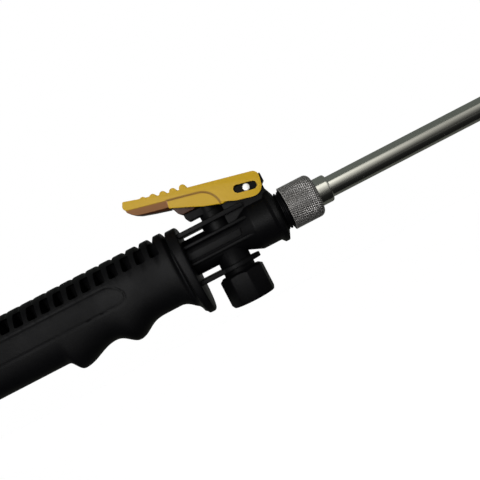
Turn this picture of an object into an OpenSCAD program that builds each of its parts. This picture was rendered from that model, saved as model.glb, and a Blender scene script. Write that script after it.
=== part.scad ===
// Hand spray lance: ribbed grip with a finger guard, thumb-lever valve, steel lance and nozzle.
// X runs along the lance from the hose tail's end (x = 0) to the nozzle. Z is up, on the lever side.
// Millimetres.

/* [Hose end] */
// Outside diameter of the hose tail
tail_d = 8.5; // [7:0.5:11]
// Bore of the hose tail
tail_bore = 5; // [3:0.5:6]
// Length of the tail behind its flange
tail_len = 26; // [22:1:40]
// Plain length at the tail's end, before the barbs
tail_plain = 8; // [4:1:10]
// Depth of the grooves between the tail's barbs
barb_depth = 0.6; // [0.3:0.1:0.9]
// Length of one barb
barb_pitch = 3; // [2:0.5:4]
// Thickness of the tail's flange
tail_flange_t = 3; // [2:0.5:4]
// Thickness of the flat washer in front of the tail
inlet_washer_t = 2; // [1:0.5:3]
// Outside diameter of the inlet thread on the grip
inlet_thread_d = 19; // [18:0.5:22]
// Length of the inlet thread, with its flange
inlet_thread_len = 13; // [12:1:18]
// Thickness of the inlet connector's flange
connector_flange_t = 1.6; // [1:0.1:2.5]
// Radius of the connector's stub in the grip
connector_r = 7.5; // [7:0.1:8.5]
// Length of the connector's stub in the grip
connector_stub = 18; // [12:1:24]
// Radial wall of the hose nut
hose_nut_wall = 2.2; // [1.5:0.1:4]
// End wall of the hose nut, behind the tail's flange
hose_nut_lip = 3; // [2:0.5:5]
// How much of the inlet thread the hose nut covers
hose_nut_grip = 9; // [6:0.5:10]

/* [Grip] */
// Length of the grip, from its butt to the guard's front face
grip_len = 118; // [105:1:150]
// Width of the grip
grip_w = 26; // [24:0.5:34]
// Height of the grip's top above the axis
grip_top = 16.3; // [15:0.1:20]
// How much lower the top is beside the guard
grip_dip = 2.6; // [0:0.1:4]
// Depth of the grip's underside below the axis
grip_drop = 17.2; // [16:0.1:20]
// Radius of the butt's rounding
butt_round = 6; // [3:0.5:8]
// Distance from the guard's front face to the first finger crest
crest_1_back = 37.3; // [34:0.1:42]
// Distance from the first finger crest to the second
crest_gap = 27.1; // [24:0.1:32]
// Height of the finger crests
crest_rise = 5; // [3:0.1:6]
// Length of a crest's front slope
crest_front_run = 14; // [10:0.5:16]
// Length of a crest's rear slope
crest_rear_run = 9.5; // [7:0.5:12]

/* [Grip ribs] */
// Distance from the guard's front face to the first bump
bump_start = 9.2; // [9:0.1:14]
// Pitch of the bumps along the top
bump_pitch = 6.7; // [6.5:0.1:9]
// Half length of a bump, along the grip
bump_half = 2.9; // [2.4:0.1:3.1]
// Height of the bumps above the grip's top
bump_rise = 0.7; // [0.3:0.1:1.5]
// Width of the side pockets between the bumps
pocket_w = 3.9; // [2:0.1:4.4]
// Height of the side pockets
pocket_h = 6.4; // [4:0.1:7]
// Height of the pockets' centres above the axis
pocket_z = 11.4; // [10.5:0.1:12]
// Lean of the pockets towards the nozzle, in degrees
pocket_lean = 0; // [0:1:15]
// Half thickness of the spine between left and right pockets
pocket_spine = 4; // [3:0.5:6]

/* [Guard] */
// Thickness of the guard
guard_t = 4.6; // [3:0.1:6]
// Half width of the guard
guard_half = 17.3; // [15:0.1:20]
// Rounding of the guard's edges
guard_edge = 0.9; // [0.3:0.1:1.5]
// Depth of the guard's lowest point below the axis
guard_drop = 26.4; // [24:0.1:30]
// Height of the guard's top above the axis
guard_top = 16.1; // [15:0.1:20]
// Length of the flare from the grip's underside into the guard
flare_run = 11; // [8:0.5:14]

/* [Inlet parts] */
// Outside diameter of the feed tube in the grip
feed_d = 8; // [7:0.5:9]
// Wall of the feed tube
feed_wall = 1.2; // [0.8:0.1:1.5]
// Outside diameter of the filter's cage
filter_d = 9.2; // [8:0.2:10]
// Length of the filter
filter_len = 42; // [30:1:50]
// Wall of the filter's cage
filter_wall = 1; // [0.8:0.1:1.4]
// Diameter of the filter's rim
filter_rim_d = 13; // [12:0.5:14]
// Thickness of the filter's rim
filter_rim_t = 1.5; // [1:0.1:2]

/* [Valve body] */
// Distance from the guard's front face to the valve's axis
valve_reach = 17.7; // [16:0.1:24]
// Radius of the round core along the lance axis
core_r = 8.6; // [8.2:0.1:9.2]
// Radius of the barrel in front of the valve
barrel_r = 11.5; // [10.5:0.1:13]
// Start of the cone from core to barrel, in front of the valve's axis
cone_start = 7.6; // [7:0.1:9]
// Start of the full barrel, in front of the valve's axis
barrel_start = 14.5; // [12:0.1:16]
// Start of the ring at the barrel's front, in front of the valve's axis
ring_start = 24.4; // [23:0.1:27]
// Radius of the ring
ring_r = 13.2; // [12.6:0.1:13.3]
// Width of the ring
ring_w = 2.5; // [1.5:0.1:4]
// Diameter of the lance thread
lance_thread_d = 18; // [17:0.5:20]
// Depth of the thread ridges
thread_depth = 0.7; // [0.4:0.1:0.9]
// Pitch of the thread ridges
thread_pitch = 1.5; // [1:0.1:2]
// Length of the lance thread in front of the ring
lance_thread_len = 12; // [11:0.5:16]
// Radius of the bonded spigot in the grip
spigot_r = 7; // [6.5:0.1:7.5]
// Length of the bonded spigot
spigot_len = 18; // [14:1:24]
// Radius of the upper guide tower
tower_r = 6.8; // [6.5:0.1:7.5]
// Radius of the lower neck
neck_r = 7.6; // [7.3:0.1:8]
// Height of the upper plate's top above the axis
plate_top = 12.3; // [12:0.1:12.8]
// Height of the web between the plunger and the pin block above the axis
web_top = 15.2; // [13:0.1:16]
// Thickness of the upper and lower plates
plate_t = 2.2; // [1.6:0.1:2.6]
// Depth of the lower plate's bottom below the axis
web_drop = 13.3; // [12:0.1:14]
// Half width of the plates
plate_half = 10; // [9:0.1:11]
// Radius of the lower plate's disc around the neck
web_disc_r = 11.6; // [9:0.1:12]
// Half width of the side ribs
rib_half = 10; // [9.4:0.1:11]

/* [Valve inside] */
// Radius of the valve chamber
chamber_r = 4.6; // [4.2:0.1:5]
// Height of the seat's lower face, under the seat ring
seat_z = -3; // [-3.5:0.1:-2.5]
// Thickness of the brass seat ring
seat_t = 2.2; // [1.6:0.1:2.4]
// Radius of the hole in the seat ring
seat_hole_r = 2.8; // [2.5:0.1:3]
// Radius of the valve stem
stem_r = 2; // [1.6:0.1:2.2]
// Radius of the stem's poppet
poppet_r = 3.8; // [3.5:0.1:4]
// Thickness of the poppet
poppet_t = 3; // [2:0.1:4]
// Thickness of the rubber washer on the poppet
poppet_washer_t = 1.4; // [1:0.1:2]
// Radius of the pocket for the stem seal and its bush
gland_r = 3.9; // [3.6:0.1:4.2]
// Height of the gland pocket's floor
gland_floor = 4.4; // [4:0.1:4.8]
// Height of the gland bush's top
gland_top = 8.6; // [8.4:0.1:8.8]
// Thickness of the stem seal's section
stem_seal_t = 1.8; // [1.4:0.1:1.9]
// Wire diameter of the return spring
spring_wire = 0.9; // [0.7:0.1:1.1]
// Mean radius of the return spring
spring_r = 3; // [2.8:0.1:3.2]
// Number of curls of the return spring
spring_curls = 7; // [4:1:8]
// Travel of the valve stem
stem_travel = 2.5; // [1.5:0.1:2.6]

/* [Plunger] */
// Radius of the plunger
plunger_r = 5.4; // [4.8:0.1:5.5]
// Height of the plunger's top above the axis
plunger_top = 18.9; // [18.5:0.1:19]
// Height of the plunger's rear tab
tab_h = 3.8; // [3:0.1:3.8]
// Reach of the tab behind the valve's axis
tab_reach = 11.4; // [10:0.1:12.5]
// Half width of the tab
tab_half = 4.6; // [3:0.1:5]

/* [Bottom cap] */
// Radius over the corners of the eight-sided cap
cap_r = 11; // [10.6:0.1:13]
// Number of the cap's flats
cap_flats = 8; // [6:1:10]
// Height of the cap's shoulder, under the axis
cap_top = 15.3; // [15:0.1:17]
// Depth of the cap's bottom under the axis
cap_bottom = 29.9; // [28:0.1:34]
// Thickness of the cap's floor
cap_floor = 2.3; // [1.5:0.1:3]
// Thickness of the flat seal in the cap
cap_seal_t = 1.5; // [1:0.1:2]

/* [Lever] */
// Distance of the lever pin in front of the valve's axis
pin_ahead = 19.4; // [18:0.1:21]
// Height of the lever pin above the axis
pin_z = 16.9; // [16.5:0.1:17.3]
// Diameter of the lever pin
pin_d = 3.4; // [2.5:0.1:3.8]
// Slope of the lever at rest, in degrees
lever_tilt = 12.9; // [12:0.1:14]
// Width of the lever
lever_w = 18; // [17.6:0.1:20]
// Thickness of the lever's cheeks
cheek_t = 1.8; // [1.2:0.1:1.9]
// Height of the lever's flat top above the pin
lever_top = 6.3; // [6:0.1:7]
// Thickness of the lever's top wall
web_t = 2.3; // [1.6:0.1:2.4]
// Length of the lever behind the pin
lever_back = 55.6; // [50:0.1:65]
// Reach of the nose in front of the pin
nose_reach = 7.3; // [6.5:0.1:7.6]
// Number of thumb ridges
ridge_count = 7; // [4:1:8]
// Pitch of the thumb ridges
ridge_pitch = 4.6; // [3.5:0.1:5]
// Height of the foremost ridge
ridge_rise = 1.8; // [0.8:0.1:2.5]
// Length of the pin's slot between its end centres
slot_travel = 6.5; // [5:0.1:6.8]
// Play between the pin and the sides of its slot
slot_play = 0.2; // [0.1:0.05:0.4]
// Radius of the rib's rounded foot, over the plunger's tab
foot_r = 1.7; // [1.2:0.1:2]
// Gap between the foot and the tab at rest
foot_gap = 0.45; // [0.3:0.05:0.8]

/* [Lance] */
// Outside diameter of the lance tube
tube_d = 10; // [8:0.5:11]
// Wall of the lance tube
tube_wall = 1; // [0.6:0.1:1.5]
// Length of the lance tube
tube_len = 400; // [250:10:700]
// How deep the tube sits in the barrel
tube_depth = 16; // [8:0.5:18]
// Wall of the collar on the tube
collar_wall = 1.6; // [1.2:0.1:1.8]
// Length of the collar in front of the nut
collar_show = 6.2; // [4:0.1:12]
// Thickness of the collar's flange
collar_flange_t = 2.5; // [2:0.1:4]
// Thickness of the flat seal behind the collar
collar_seal_t = 1.5; // [1:0.1:2.5]
// Length of the knurled nut
nut_len = 15.8; // [15:0.1:20]
// Radius of the knurled nut
nut_r = 10.45; // [10.4:0.05:13]
// Length of the knurled nut's front wall
nut_lip = 3.6; // [3:0.1:4.5]

/* [Nozzle] */
// Width over the flats of the nozzle body's hexagon
nozzle_flats = 15; // [14:0.5:18]
// Length of the nozzle body's socket on the tube
nozzle_socket = 10; // [6:0.5:14]
// Radius of the nozzle body's thread
nozzle_thread_r = 5.5; // [5:0.1:5.7]
// Radius of the land that the nozzle's ring seal slides on
land_r = 6.2; // [6:0.1:6.4]
// Radius of the nozzle cap
nozzle_cap_r = 9; // [8.8:0.1:12]
// Length of the nozzle cap
nozzle_cap_len = 22; // [20:0.5:28]
// Radius of the spray hole
orifice_r = 0.8; // [0.4:0.1:1.2]
// Radius of the nozzle ring seal's section
nozzle_seal_r = 0.9; // [0.7:0.1:1]

/* [Hidden] */

// Clearance of a part that turns or slides in another
running = 0.08;
// Clearance of a part that is pressed or bonded in another
seated = 0.02;
// Clearance over thread ridges
thread_gap = 0.25;
// Overshoot of a cut past a face
past = 1;
// Facets of round parts
round_fn = 96;
// Points around a section of the grip
ring_points = 20;

inlet_x = tail_len + tail_flange_t + inlet_washer_t;
butt_x = inlet_x + inlet_thread_len;
socket_end = butt_x + connector_stub;
guard_x = butt_x + grip_len;
valve_x = guard_x + valve_reach;
ring_x = valve_x + ring_start;
thread_x = ring_x + ring_w + 1.5;
thread_end = thread_x + lance_thread_len - 1;
tube_x = thread_end - tube_depth;
tube_end = tube_x + tube_len;
spigot_x = guard_x - spigot_len;
feed_end = spigot_x + 12;
filter_end = inlet_x + filter_len;
feed_x = filter_end + 2;
collar_flange_x = thread_end + collar_seal_t;
nut_front = collar_flange_x + collar_flange_t + 0.2 + nut_lip;
nut_x = nut_front - nut_len;
collar_r = tube_d / 2 + collar_wall;
collar_flange_r = lance_thread_d / 2 - thread_depth;
cap_inner_r = neck_r + running;
neck_end = cap_bottom - cap_floor - cap_seal_t;
pin_x = valve_x + pin_ahead;
inner_half = lever_w / 2 - cheek_t;
slot_r = pin_d / 2 + slot_play;
foot_behind = pin_ahead + tab_reach - 1.1;
foot_z = plunger_top + foot_gap + foot_r;

// A solid turned about the lance axis, from points [x, radius]
module turned_x(points) {
    rotate([0, 90, 0])
        rotate_extrude($fn = round_fn)
            polygon([for (p = points) [p[1], p[0]]]);
}

// A solid turned about the valve's vertical axis, from points [radius, z]
module turned_z(points) {
    translate([valve_x, 0, 0])
        rotate_extrude($fn = round_fn)
            polygon(points);
}

// A cylinder along X from x0 to x1
module rod_x(x0, x1, r) {
    translate([x0, 0, 0])
        rotate([0, 90, 0])
            cylinder(h = x1 - x0, r = r, $fn = round_fn);
}

// A cylinder on the valve's axis from z0 to z1
module rod_z(z0, z1, r) {
    translate([valve_x, 0, z0])
        cylinder(h = z1 - z0, r = r, $fn = round_fn);
}

// A ring seal about the lance axis
module ring_x_seal(x, ring, section) {
    translate([x, 0, 0])
        rotate([0, 90, 0])
            rotate_extrude($fn = round_fn)
                translate([ring, 0])
                    circle(r = section, $fn = 32);
}

// Thread ridges about X between two stations, root to crest
module ridges_x(x0, x1, crest, depth, pitch) {
    for (x = [x0 : pitch : x1 - pitch])
        turned_x([[x, crest - depth - 0.3], [x, crest - depth], [x + pitch * 0.35, crest],
            [x + pitch * 0.5, crest], [x + pitch * 0.85, crest - depth],
            [x + pitch * 0.85, crest - depth - 0.3]]);
}

// ---- Grip ----

// A rounded crest of height 1 at d = 0 that fades over its run
function bell(d, run) = abs(d) >= run ? 0 : pow((1 + cos(180 * d / run)) / 2, 1.25);

// Depth of the finger crest that stands back behind the guard, at station x
function crest(x, back) = let (d = x - (guard_x - back))
    crest_rise * bell(d, d > 0 ? crest_front_run : crest_rear_run);

// Flare of the underside into the guard
function flare(x) = let (d = guard_x - guard_t - x)
    d > flare_run ? 0 : (guard_drop - 1.7 - grip_drop) * pow(1 - max(d, 0) / flare_run, 2.4);

function underside(x) = grip_drop + crest(x, crest_1_back) + crest(x, crest_1_back + crest_gap) + flare(x);

// Top of the grip in the valleys between bumps
function valley(x) = grip_top - grip_dip * pow(max(0, 1 - (guard_x - guard_t - x) / 30), 1.5);

// Distances of the bumps' centres behind the guard's front face
bump_backs = [for (back = [bump_start : bump_pitch : grip_len - butt_round - bump_half]) back];

// Share of the bump's full height at distance d from its centre
function bump_share(d) = abs(d) >= bump_half ? 0 : sqrt(1 - pow(abs(d) / bump_half, 4));

function nearest_bump(x) = min([for (back = bump_backs) abs(guard_x - back - x)]);
function topside(x) = valley(x) + (grip_top + bump_rise - valley(x)) * bump_share(nearest_bump(x));

// How far the butt's rounding draws the section in at station x
function butt_inset(x) = let (d = x - butt_x)
    d >= butt_round ? 0 : butt_round - sqrt(butt_round * butt_round - pow(butt_round - d, 2));

// A power that keeps its sign, for the rounded section
function soft(v, p) = sign(v) * pow(abs(v), p);

// Rounded section at station x, from its half width, top height and underside depth
function round_section(x, half, top, low) =
    [for (i = [0 : ring_points - 1]) let (t = 360 * (i + 0.5) / ring_points, up = sin(t) > 0)
        [x, half * soft(cos(t), up ? 0.85 : 0.75), (up ? top : low) * soft(sin(t), up ? 0.85 : 0.75)]];

function grip_section(x) = let (b = butt_inset(x))
    round_section(x, grip_w / 2 - b, topside(x) - b, underside(x) - b);

function guard_section(x, inset) =
    round_section(x, guard_half - inset, guard_top - inset, guard_drop - inset);

// A solid skinned over a list of sections with equal point counts
module skinned(sections) {
    n = len(sections[0]);
    m = len(sections);
    polyhedron(
        points = [for (s = sections) each s],
        faces = concat(
            [[for (i = [n - 1 : -1 : 0]) i]],
            [for (k = [0 : m - 2]) for (i = [0 : n - 1])
                [k * n + i, k * n + (i + 1) % n, (k + 1) * n + (i + 1) % n]],
            [for (k = [0 : m - 2]) for (i = [0 : n - 1])
                [k * n + i, (k + 1) * n + (i + 1) % n, (k + 1) * n + i]],
            [[for (i = [0 : n - 1]) (m - 1) * n + i]]));
}

// Grip and guard in one skin, from the butt to the guard's front face
module grip_loft() {
    rear = guard_x - guard_t;
    last = guard_x - bump_start + bump_half;
    butt_stations = [for (a = [0 : 22.5 : 90]) butt_x + butt_round * (1 - cos(a))];
    bump_stations = [for (i = [len(bump_backs) - 1 : -1 : 0]) for (share = [-1, -0.85, -0.5, 0.5, 0.85, 1])
        guard_x - bump_backs[i] + share * bump_half];
    stations = concat(butt_stations, bump_stations, [(last + rear) / 2, rear - 0.1]);
    skinned(concat([for (x = stations) grip_section(x)],
        [guard_section(rear, guard_edge), guard_section(rear + guard_edge, 0),
            guard_section(guard_x - guard_edge, 0), guard_section(guard_x, guard_edge)]));
}

// Slot outline with round ends, height along its second axis
function slot_outline(w, h) = concat(
    [for (a = [0 : 30 : 180]) [w / 2 * cos(a), (h - w) / 2 + w / 2 * sin(a)]],
    [for (a = [180 : 30 : 360]) [w / 2 * cos(a), -(h - w) / 2 + w / 2 * sin(a)]]);

module grip_pockets() {
    for (side = [0, 1])
        mirror([0, side, 0])
            for (back = [bump_start + bump_pitch / 2 : bump_pitch : grip_len - butt_round - bump_half])
                translate([guard_x - back, -pocket_spine, pocket_z])
                    rotate([90, -pocket_lean, 0])
                        linear_extrude(height = grip_w)
                            polygon(slot_outline(pocket_w, pocket_h));
}

module grip() {
    color([0.07, 0.07, 0.08])
        difference() {
            grip_loft();
            grip_pockets();
            rod_x(butt_x - past, socket_end, connector_r + seated);
            rod_x(socket_end - past, filter_end + 2, filter_d / 2 + 0.5);
            rod_x(filter_end, spigot_x, feed_d / 2 + seated);
            rod_x(spigot_x, guard_x + past, spigot_r + seated);
        }
}

// ---- Inlet ----

module inlet_connector() {
    root = inlet_thread_d / 2 - thread_depth;
    color([0.78, 0.62, 0.3])
        difference() {
            union() {
                turned_x([[inlet_x, 0], [inlet_x, root], [butt_x - connector_flange_t, root],
                    [butt_x - connector_flange_t, root + 2], [butt_x, root + 2], [butt_x, connector_r],
                    [socket_end, connector_r], [socket_end, 0]]);
                ridges_x(inlet_x + 0.6, butt_x - connector_flange_t - 0.4, inlet_thread_d / 2, thread_depth,
                    thread_pitch);
            }
            rod_x(inlet_x - past, inlet_x + filter_rim_t, filter_rim_d / 2 + seated);
            rod_x(inlet_x, socket_end + past, filter_d / 2 + 0.5);
        }
}

module inlet_filter() {
    cage_r = filter_d / 2;
    color([0.85, 0.85, 0.8])
        difference() {
            union() {
                rod_x(inlet_x, inlet_x + filter_rim_t, filter_rim_d / 2);
                rod_x(inlet_x, filter_end, cage_r);
            }
            rod_x(inlet_x - past, filter_end - filter_wall, cage_r - filter_wall);
            for (row = [0 : 4])
                translate([inlet_x + filter_rim_t + 3 + row * (filter_len - 8) / 5, 0, 0])
                    for (turn = [0, 60, 120])
                        rotate([turn, 0, 0])
                            translate([0, -filter_d, -1.2])
                                cube([(filter_len - 8) / 5 - 1.5, 2 * filter_d, 2.4]);
        }
}

module inlet_washer() {
    color([0.15, 0.15, 0.15])
        difference() {
            rod_x(inlet_x - inlet_washer_t, inlet_x, inlet_thread_d / 2 - thread_depth - 0.4);
            rod_x(inlet_x - inlet_washer_t - past, inlet_x + past, tail_bore / 2 + 0.5);
        }
}

module hose_tail() {
    r = tail_d / 2;
    barbs = floor((tail_len - tail_plain - hose_nut_lip - 3) / barb_pitch);
    flange_r = inlet_thread_d / 2 - thread_depth;
    color([0.78, 0.62, 0.3])
        difference() {
            union() {
                rod_x(0, tail_plain, r);
                for (i = [0 : barbs - 1])
                    translate([tail_plain + i * barb_pitch, 0, 0])
                        turned_x([[0, 0], [0, r - barb_depth], [barb_pitch * 0.9, r], [barb_pitch, r],
                            [barb_pitch, 0]]);
                rod_x(tail_plain + barbs * barb_pitch, tail_len, r);
                rod_x(tail_len, tail_len + tail_flange_t, flange_r);
            }
            rod_x(-past, tail_len + tail_flange_t + past, tail_bore / 2);
        }
}

module hose_nut() {
    inner = inlet_thread_d / 2 + thread_gap;
    outer = inner + hose_nut_wall;
    x0 = tail_len - hose_nut_lip;
    x1 = inlet_x + hose_nut_grip;
    color([0.09, 0.09, 0.1])
        difference() {
            union() {
                turned_x([[x0, 0], [x0, outer - 1.5], [x0 + 1.5, outer], [x1 - 1, outer], [x1, outer - 1],
                    [x1, 0]]);
                for (turn = [0 : 22.5 : 359])
                    rotate([turn, 0, 0])
                        translate([x0 + 3, 0, outer])
                            rotate([0, 90, 0])
                                cylinder(h = x1 - x0 - 5.5, r = 0.9, $fn = 24);
            }
            rod_x(x0 - past, x1 + past, tail_d / 2 + 0.3);
            rod_x(tail_len - 0.1, x1 + past, inner);
        }
}

module feed_tube() {
    color([0.78, 0.62, 0.3])
        difference() {
            rod_x(feed_x, feed_end, feed_d / 2);
            rod_x(feed_x - past, feed_end + past, feed_d / 2 - feed_wall);
        }
}

module feed_seal() {
    color([0.15, 0.15, 0.15])
        ring_x_seal(spigot_x + 3, feed_d / 2 + 0.82, 0.8);
}

// ---- Valve body ----

// Slanted water passage between two points [x, z] measured from the valve's axis
module passage(a, b, r) {
    dx = b[0] - a[0];
    dz = b[1] - a[1];
    translate([valve_x + a[0], 0, a[1]])
        rotate([0, 90 - atan2(dz, dx), 0])
            cylinder(h = norm([dx, dz]), r = r, $fn = round_fn);
}

// Core, cone, barrel, ring and threaded nose, turned about the lance axis
module valve_barrel() {
    turned_x([[spigot_x, 0], [spigot_x, spigot_r], [guard_x, spigot_r], [guard_x, core_r],
        [valve_x + cone_start, core_r], [valve_x + barrel_start, barrel_r], [ring_x - 0.8, barrel_r],
        [ring_x, ring_r], [ring_x + ring_w, ring_r], [thread_x - 0.3, lance_thread_d / 2 + 0.6],
        [thread_x, lance_thread_d / 2 - thread_depth], [thread_end, lance_thread_d / 2 - thread_depth],
        [thread_end, 0]]);
    ridges_x(thread_x + 0.2, thread_end - 0.3, lance_thread_d / 2, thread_depth, thread_pitch);
}

module valve_plates() {
    plate_len = valve_reach + barrel_start;
    translate([guard_x, -plate_half, plate_top - plate_t])
        cube([plate_len, 2 * plate_half, plate_t]);
    translate([guard_x, -plate_half, -web_drop])
        cube([valve_reach, 2 * plate_half, plate_t]);
    rod_z(-web_drop, plate_t - web_drop, web_disc_r);
}

module side_ribs() {
    translate([guard_x, -rib_half, 4.3])
        cube([valve_reach + barrel_start - 1, 2 * rib_half, 1.8]);
    translate([guard_x, -rib_half, -3.8])
        cube([valve_reach + barrel_start, 2 * rib_half, 1.5]);
    translate([guard_x, 0.5 - rib_half, -1.4])
        cube([valve_reach + cone_start + 0.9, 2 * rib_half - 1, 3.7]);
}

module lever_bracket() {
    half = inner_half - 0.5;
    rotate([90, 0, 0])
        linear_extrude(height = 2 * half, center = true)
            polygon([[valve_x + tower_r - 2, 0], [valve_x + tower_r - 2, plate_top - 0.8],
                [valve_x + plunger_r + 0.5, plate_top - 0.8], [valve_x + plunger_r + 0.5, web_top],
                [pin_x - 7, web_top], [pin_x - 7, pin_z + 1.4], [pin_x - 5.8, pin_z + 2.6], [pin_x + 6.2, pin_z + 2.6],
                [pin_x + 7, pin_z + 3.3], [pin_x + 8.5, pin_z + 3.3], [pin_x + 8.5, pin_z - 1.1],
                [pin_x + 7.2, pin_z - 1.6], [pin_x + 7.2, ring_r - 3], [pin_x + 6, 0]]);
}

module valve_body() {
    color([0.07, 0.07, 0.08])
        difference() {
            union() {
                valve_barrel();
                valve_plates();
                side_ribs();
                lever_bracket();
                rod_z(0, plate_top, tower_r);
                rod_z(-cap_top - 1, 0, neck_r);
                rod_z(-neck_end, -cap_top, neck_r - 0.4);
            }
            rod_z(-neck_end - past, seat_z + seat_t, chamber_r);
            rod_z(seat_z, gland_floor + 1, gland_r - 0.5);
            rod_z(gland_floor, plate_top - 1, gland_r);
            rod_z(gland_top, plate_top + past, plunger_r + running);
            rod_x(spigot_x - past, feed_end, feed_d / 2 + seated);
            rod_x(spigot_x + 2, spigot_x + 4, feed_d / 2 + 1.65);
            rod_x(feed_end - 1, guard_x + 2, 2.4);
            passage([-valve_reach + 1, 0], [-1, -7.6], 2);
            passage([0, 1.6], [barrel_start + 7, 0], 2);
            rod_x(valve_x + barrel_start, tube_x + 1, tube_d / 2 - tube_wall);
            rod_x(tube_x, thread_end + past, tube_d / 2 + seated);
            translate([pin_x, 0, pin_z])
                rotate([90, 0, 0])
                    cylinder(h = lever_w, r = pin_d / 2 + running / 2, center = true, $fn = round_fn);
        }
}

module seat_ring() {
    color([0.78, 0.62, 0.3])
        difference() {
            rod_z(seat_z, seat_z + seat_t, chamber_r - seated);
            rod_z(seat_z - past, seat_z + seat_t + past, seat_hole_r);
        }
}

module stem_seal() {
    section = stem_seal_t / 2;
    color([0.15, 0.15, 0.15])
        translate([valve_x, 0, gland_floor + section])
            rotate_extrude($fn = round_fn)
                translate([stem_r + section + seated, 0])
                    circle(r = section, $fn = 32);
}

module gland_bush() {
    color([0.78, 0.62, 0.3])
        difference() {
            rod_z(gland_floor + stem_seal_t, gland_top, gland_r - seated);
            rod_z(0, gland_top + past, stem_r + running);
        }
}

// ---- Moving valve parts ----

module valve_stem() {
    low = seat_z - poppet_washer_t;
    color([0.7, 0.7, 0.72])
        turned_z([[0, low - poppet_t - 2], [spring_r - spring_wire / 2 - 0.3, low - poppet_t - 2],
            [spring_r - spring_wire / 2 - 0.3, low - poppet_t], [poppet_r, low - poppet_t], [poppet_r, low],
            [stem_r, low], [stem_r, plunger_top - 4], [0, plunger_top - 4]]);
}

module poppet_washer() {
    color([0.15, 0.15, 0.15])
        difference() {
            rod_z(seat_z - poppet_washer_t, seat_z, poppet_r);
            rod_z(seat_z - poppet_washer_t - past, seat_z + past, stem_r + seated);
        }
}

module valve_plunger() {
    color([0.07, 0.07, 0.08])
        difference() {
            union() {
                turned_z([[0, plate_top - 0.9], [plunger_r - 0.4, plate_top - 0.9],
                    [plunger_r, plate_top - 0.5], [plunger_r, plunger_top - 0.6],
                    [plunger_r - 0.6, plunger_top], [0, plunger_top]]);
                translate([valve_x - tab_reach, -tab_half, plunger_top - tab_h])
                    cube([tab_reach, 2 * tab_half, tab_h]);
            }
            rod_z(0, plunger_top - 4, stem_r + seated);
        }
}

// The return spring's wire: ends closed flat, open curls between
function coil_height(u, low, high) = let (flat = spring_wire * 1.08, free = high - low - spring_wire)
    low + spring_wire / 2 + (u < 1 ? flat * u
        : u > spring_curls - 1 ? free - flat * (spring_curls - u)
        : flat + (free - 2 * flat) * (u - 1) / (spring_curls - 2));

module return_spring() {
    low = cap_floor - cap_bottom;
    high = seat_z - poppet_washer_t - poppet_t - 0.05;
    rings = spring_curls * 12;
    sections = [for (k = [0 : rings]) let (u = k / 12, a = 360 * u, z = coil_height(u, low, high))
        [for (i = [0 : 5]) let (t = -60 * i, r = spring_r + spring_wire / 2 * cos(t))
            [valve_x + r * cos(a), r * sin(a), z + spring_wire / 2 * sin(t)]]];
    color([0.75, 0.75, 0.78])
        skinned(sections);
}

// ---- Bottom cap ----

module bottom_cap() {
    color([0.07, 0.07, 0.08])
        difference() {
            intersection() {
                translate([valve_x, 0, -cap_bottom])
                    rotate([0, 0, 13])
                        cylinder(h = cap_bottom - cap_top, r = cap_r, $fn = cap_flats);
                turned_z([[0, -cap_bottom], [cap_r - 1.4, -cap_bottom], [cap_r, 2 - cap_bottom],
                    [cap_r, -cap_top - 1.4], [cap_r - 2, -cap_top], [0, -cap_top]]);
            }
            rod_z(cap_floor - cap_bottom, past - cap_top, cap_inner_r);
        }
}

module cap_seal() {
    color([0.15, 0.15, 0.15])
        difference() {
            rod_z(cap_floor - cap_bottom, -neck_end, neck_r - 0.5);
            rod_z(-cap_bottom, past - neck_end, chamber_r);
        }
}

// ---- Lever ----

module lever_pin() {
    color([0.8, 0.8, 0.82])
        translate([pin_x, 0, pin_z])
            rotate([90, 0, 0])
                cylinder(h = lever_w - 0.2, r = pin_d / 2, center = true, $fn = round_fn);
}

// Side outline of the cheeks below the top wall, in the lever's own slope: along, up from the pin
module cheek_outline() {
    front_r = 4.6;
    polygon(concat(
        [[-36, lever_top - 1], [-35.4, -0.9], [-27.6, -2.3], [-20.4, -3.3], [-12.6, -3.9], [-5.6, -4.2],
            [1.5, -4.3]],
        [for (a = [-80 : 10 : 80]) [nose_reach - front_r + front_r * cos(a), 0.9 + (front_r + 0.7) * sin(a)]],
        [[1.5, lever_top]]));
}

// Side outline of the thumb rest and top wall
module top_outline() {
    tip = -lever_back;
    polygon([[tip + 0.6, 3], [tip, 4], [tip + 0.2, 5.6], [tip + 1, lever_top], [-0.5, lever_top],
        [-0.5, lever_top - web_t], [-36, lever_top - web_t], [-36, 3]]);
}

module thumb_ridges() {
    for (i = [0 : ridge_count - 1]) {
        rise = ridge_rise * (1 - 0.11 * i);
        translate([-27.8 - i * ridge_pitch, 0, lever_top + rise - 2.4])
            rotate([90, 0, 0])
                cylinder(h = lever_w, r = 2.4, center = true, $fn = 48);
    }
}

// Keel under the thumb rest: narrows downwards, and its underside curves up to the tip
module thumb_keel() {
    tip = -lever_back;
    half = lever_w / 2;
    intersection() {
        translate([tip, 0, 0])
            rotate([90, 0, 90])
                linear_extrude(height = lever_back - 35)
                    polygon([[-half, 3.2], [half, 3.2], [half * 0.45, -1.4], [-half * 0.45, -1.4]]);
        rotate([90, 0, 0])
            linear_extrude(height = 2 * lever_w, center = true)
                polygon([[tip + 0.6, 3.2], [tip + 1.2, 2], [tip + 3, 0.7], [tip + 6, -0.2], [tip + 12, -0.7],
                    [-35, -1.1], [-35, 3.2]]);
    }
}

module lever_rib() {
    rotate([90, 0, 0])
        linear_extrude(height = 2 * tab_half, center = true)
            polygon([[-36, lever_top - web_t + 0.1], [-35.2, -0.6], foot_point(150), foot_point(-20),
                [-26, 0.5], [-24, lever_top - web_t + 0.1]]);
    translate([foot_s(), 0, foot_n()])
        rotate([90, 0, 0])
            cylinder(h = 2 * tab_half, r = foot_r, center = true, $fn = 48);
}

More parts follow.
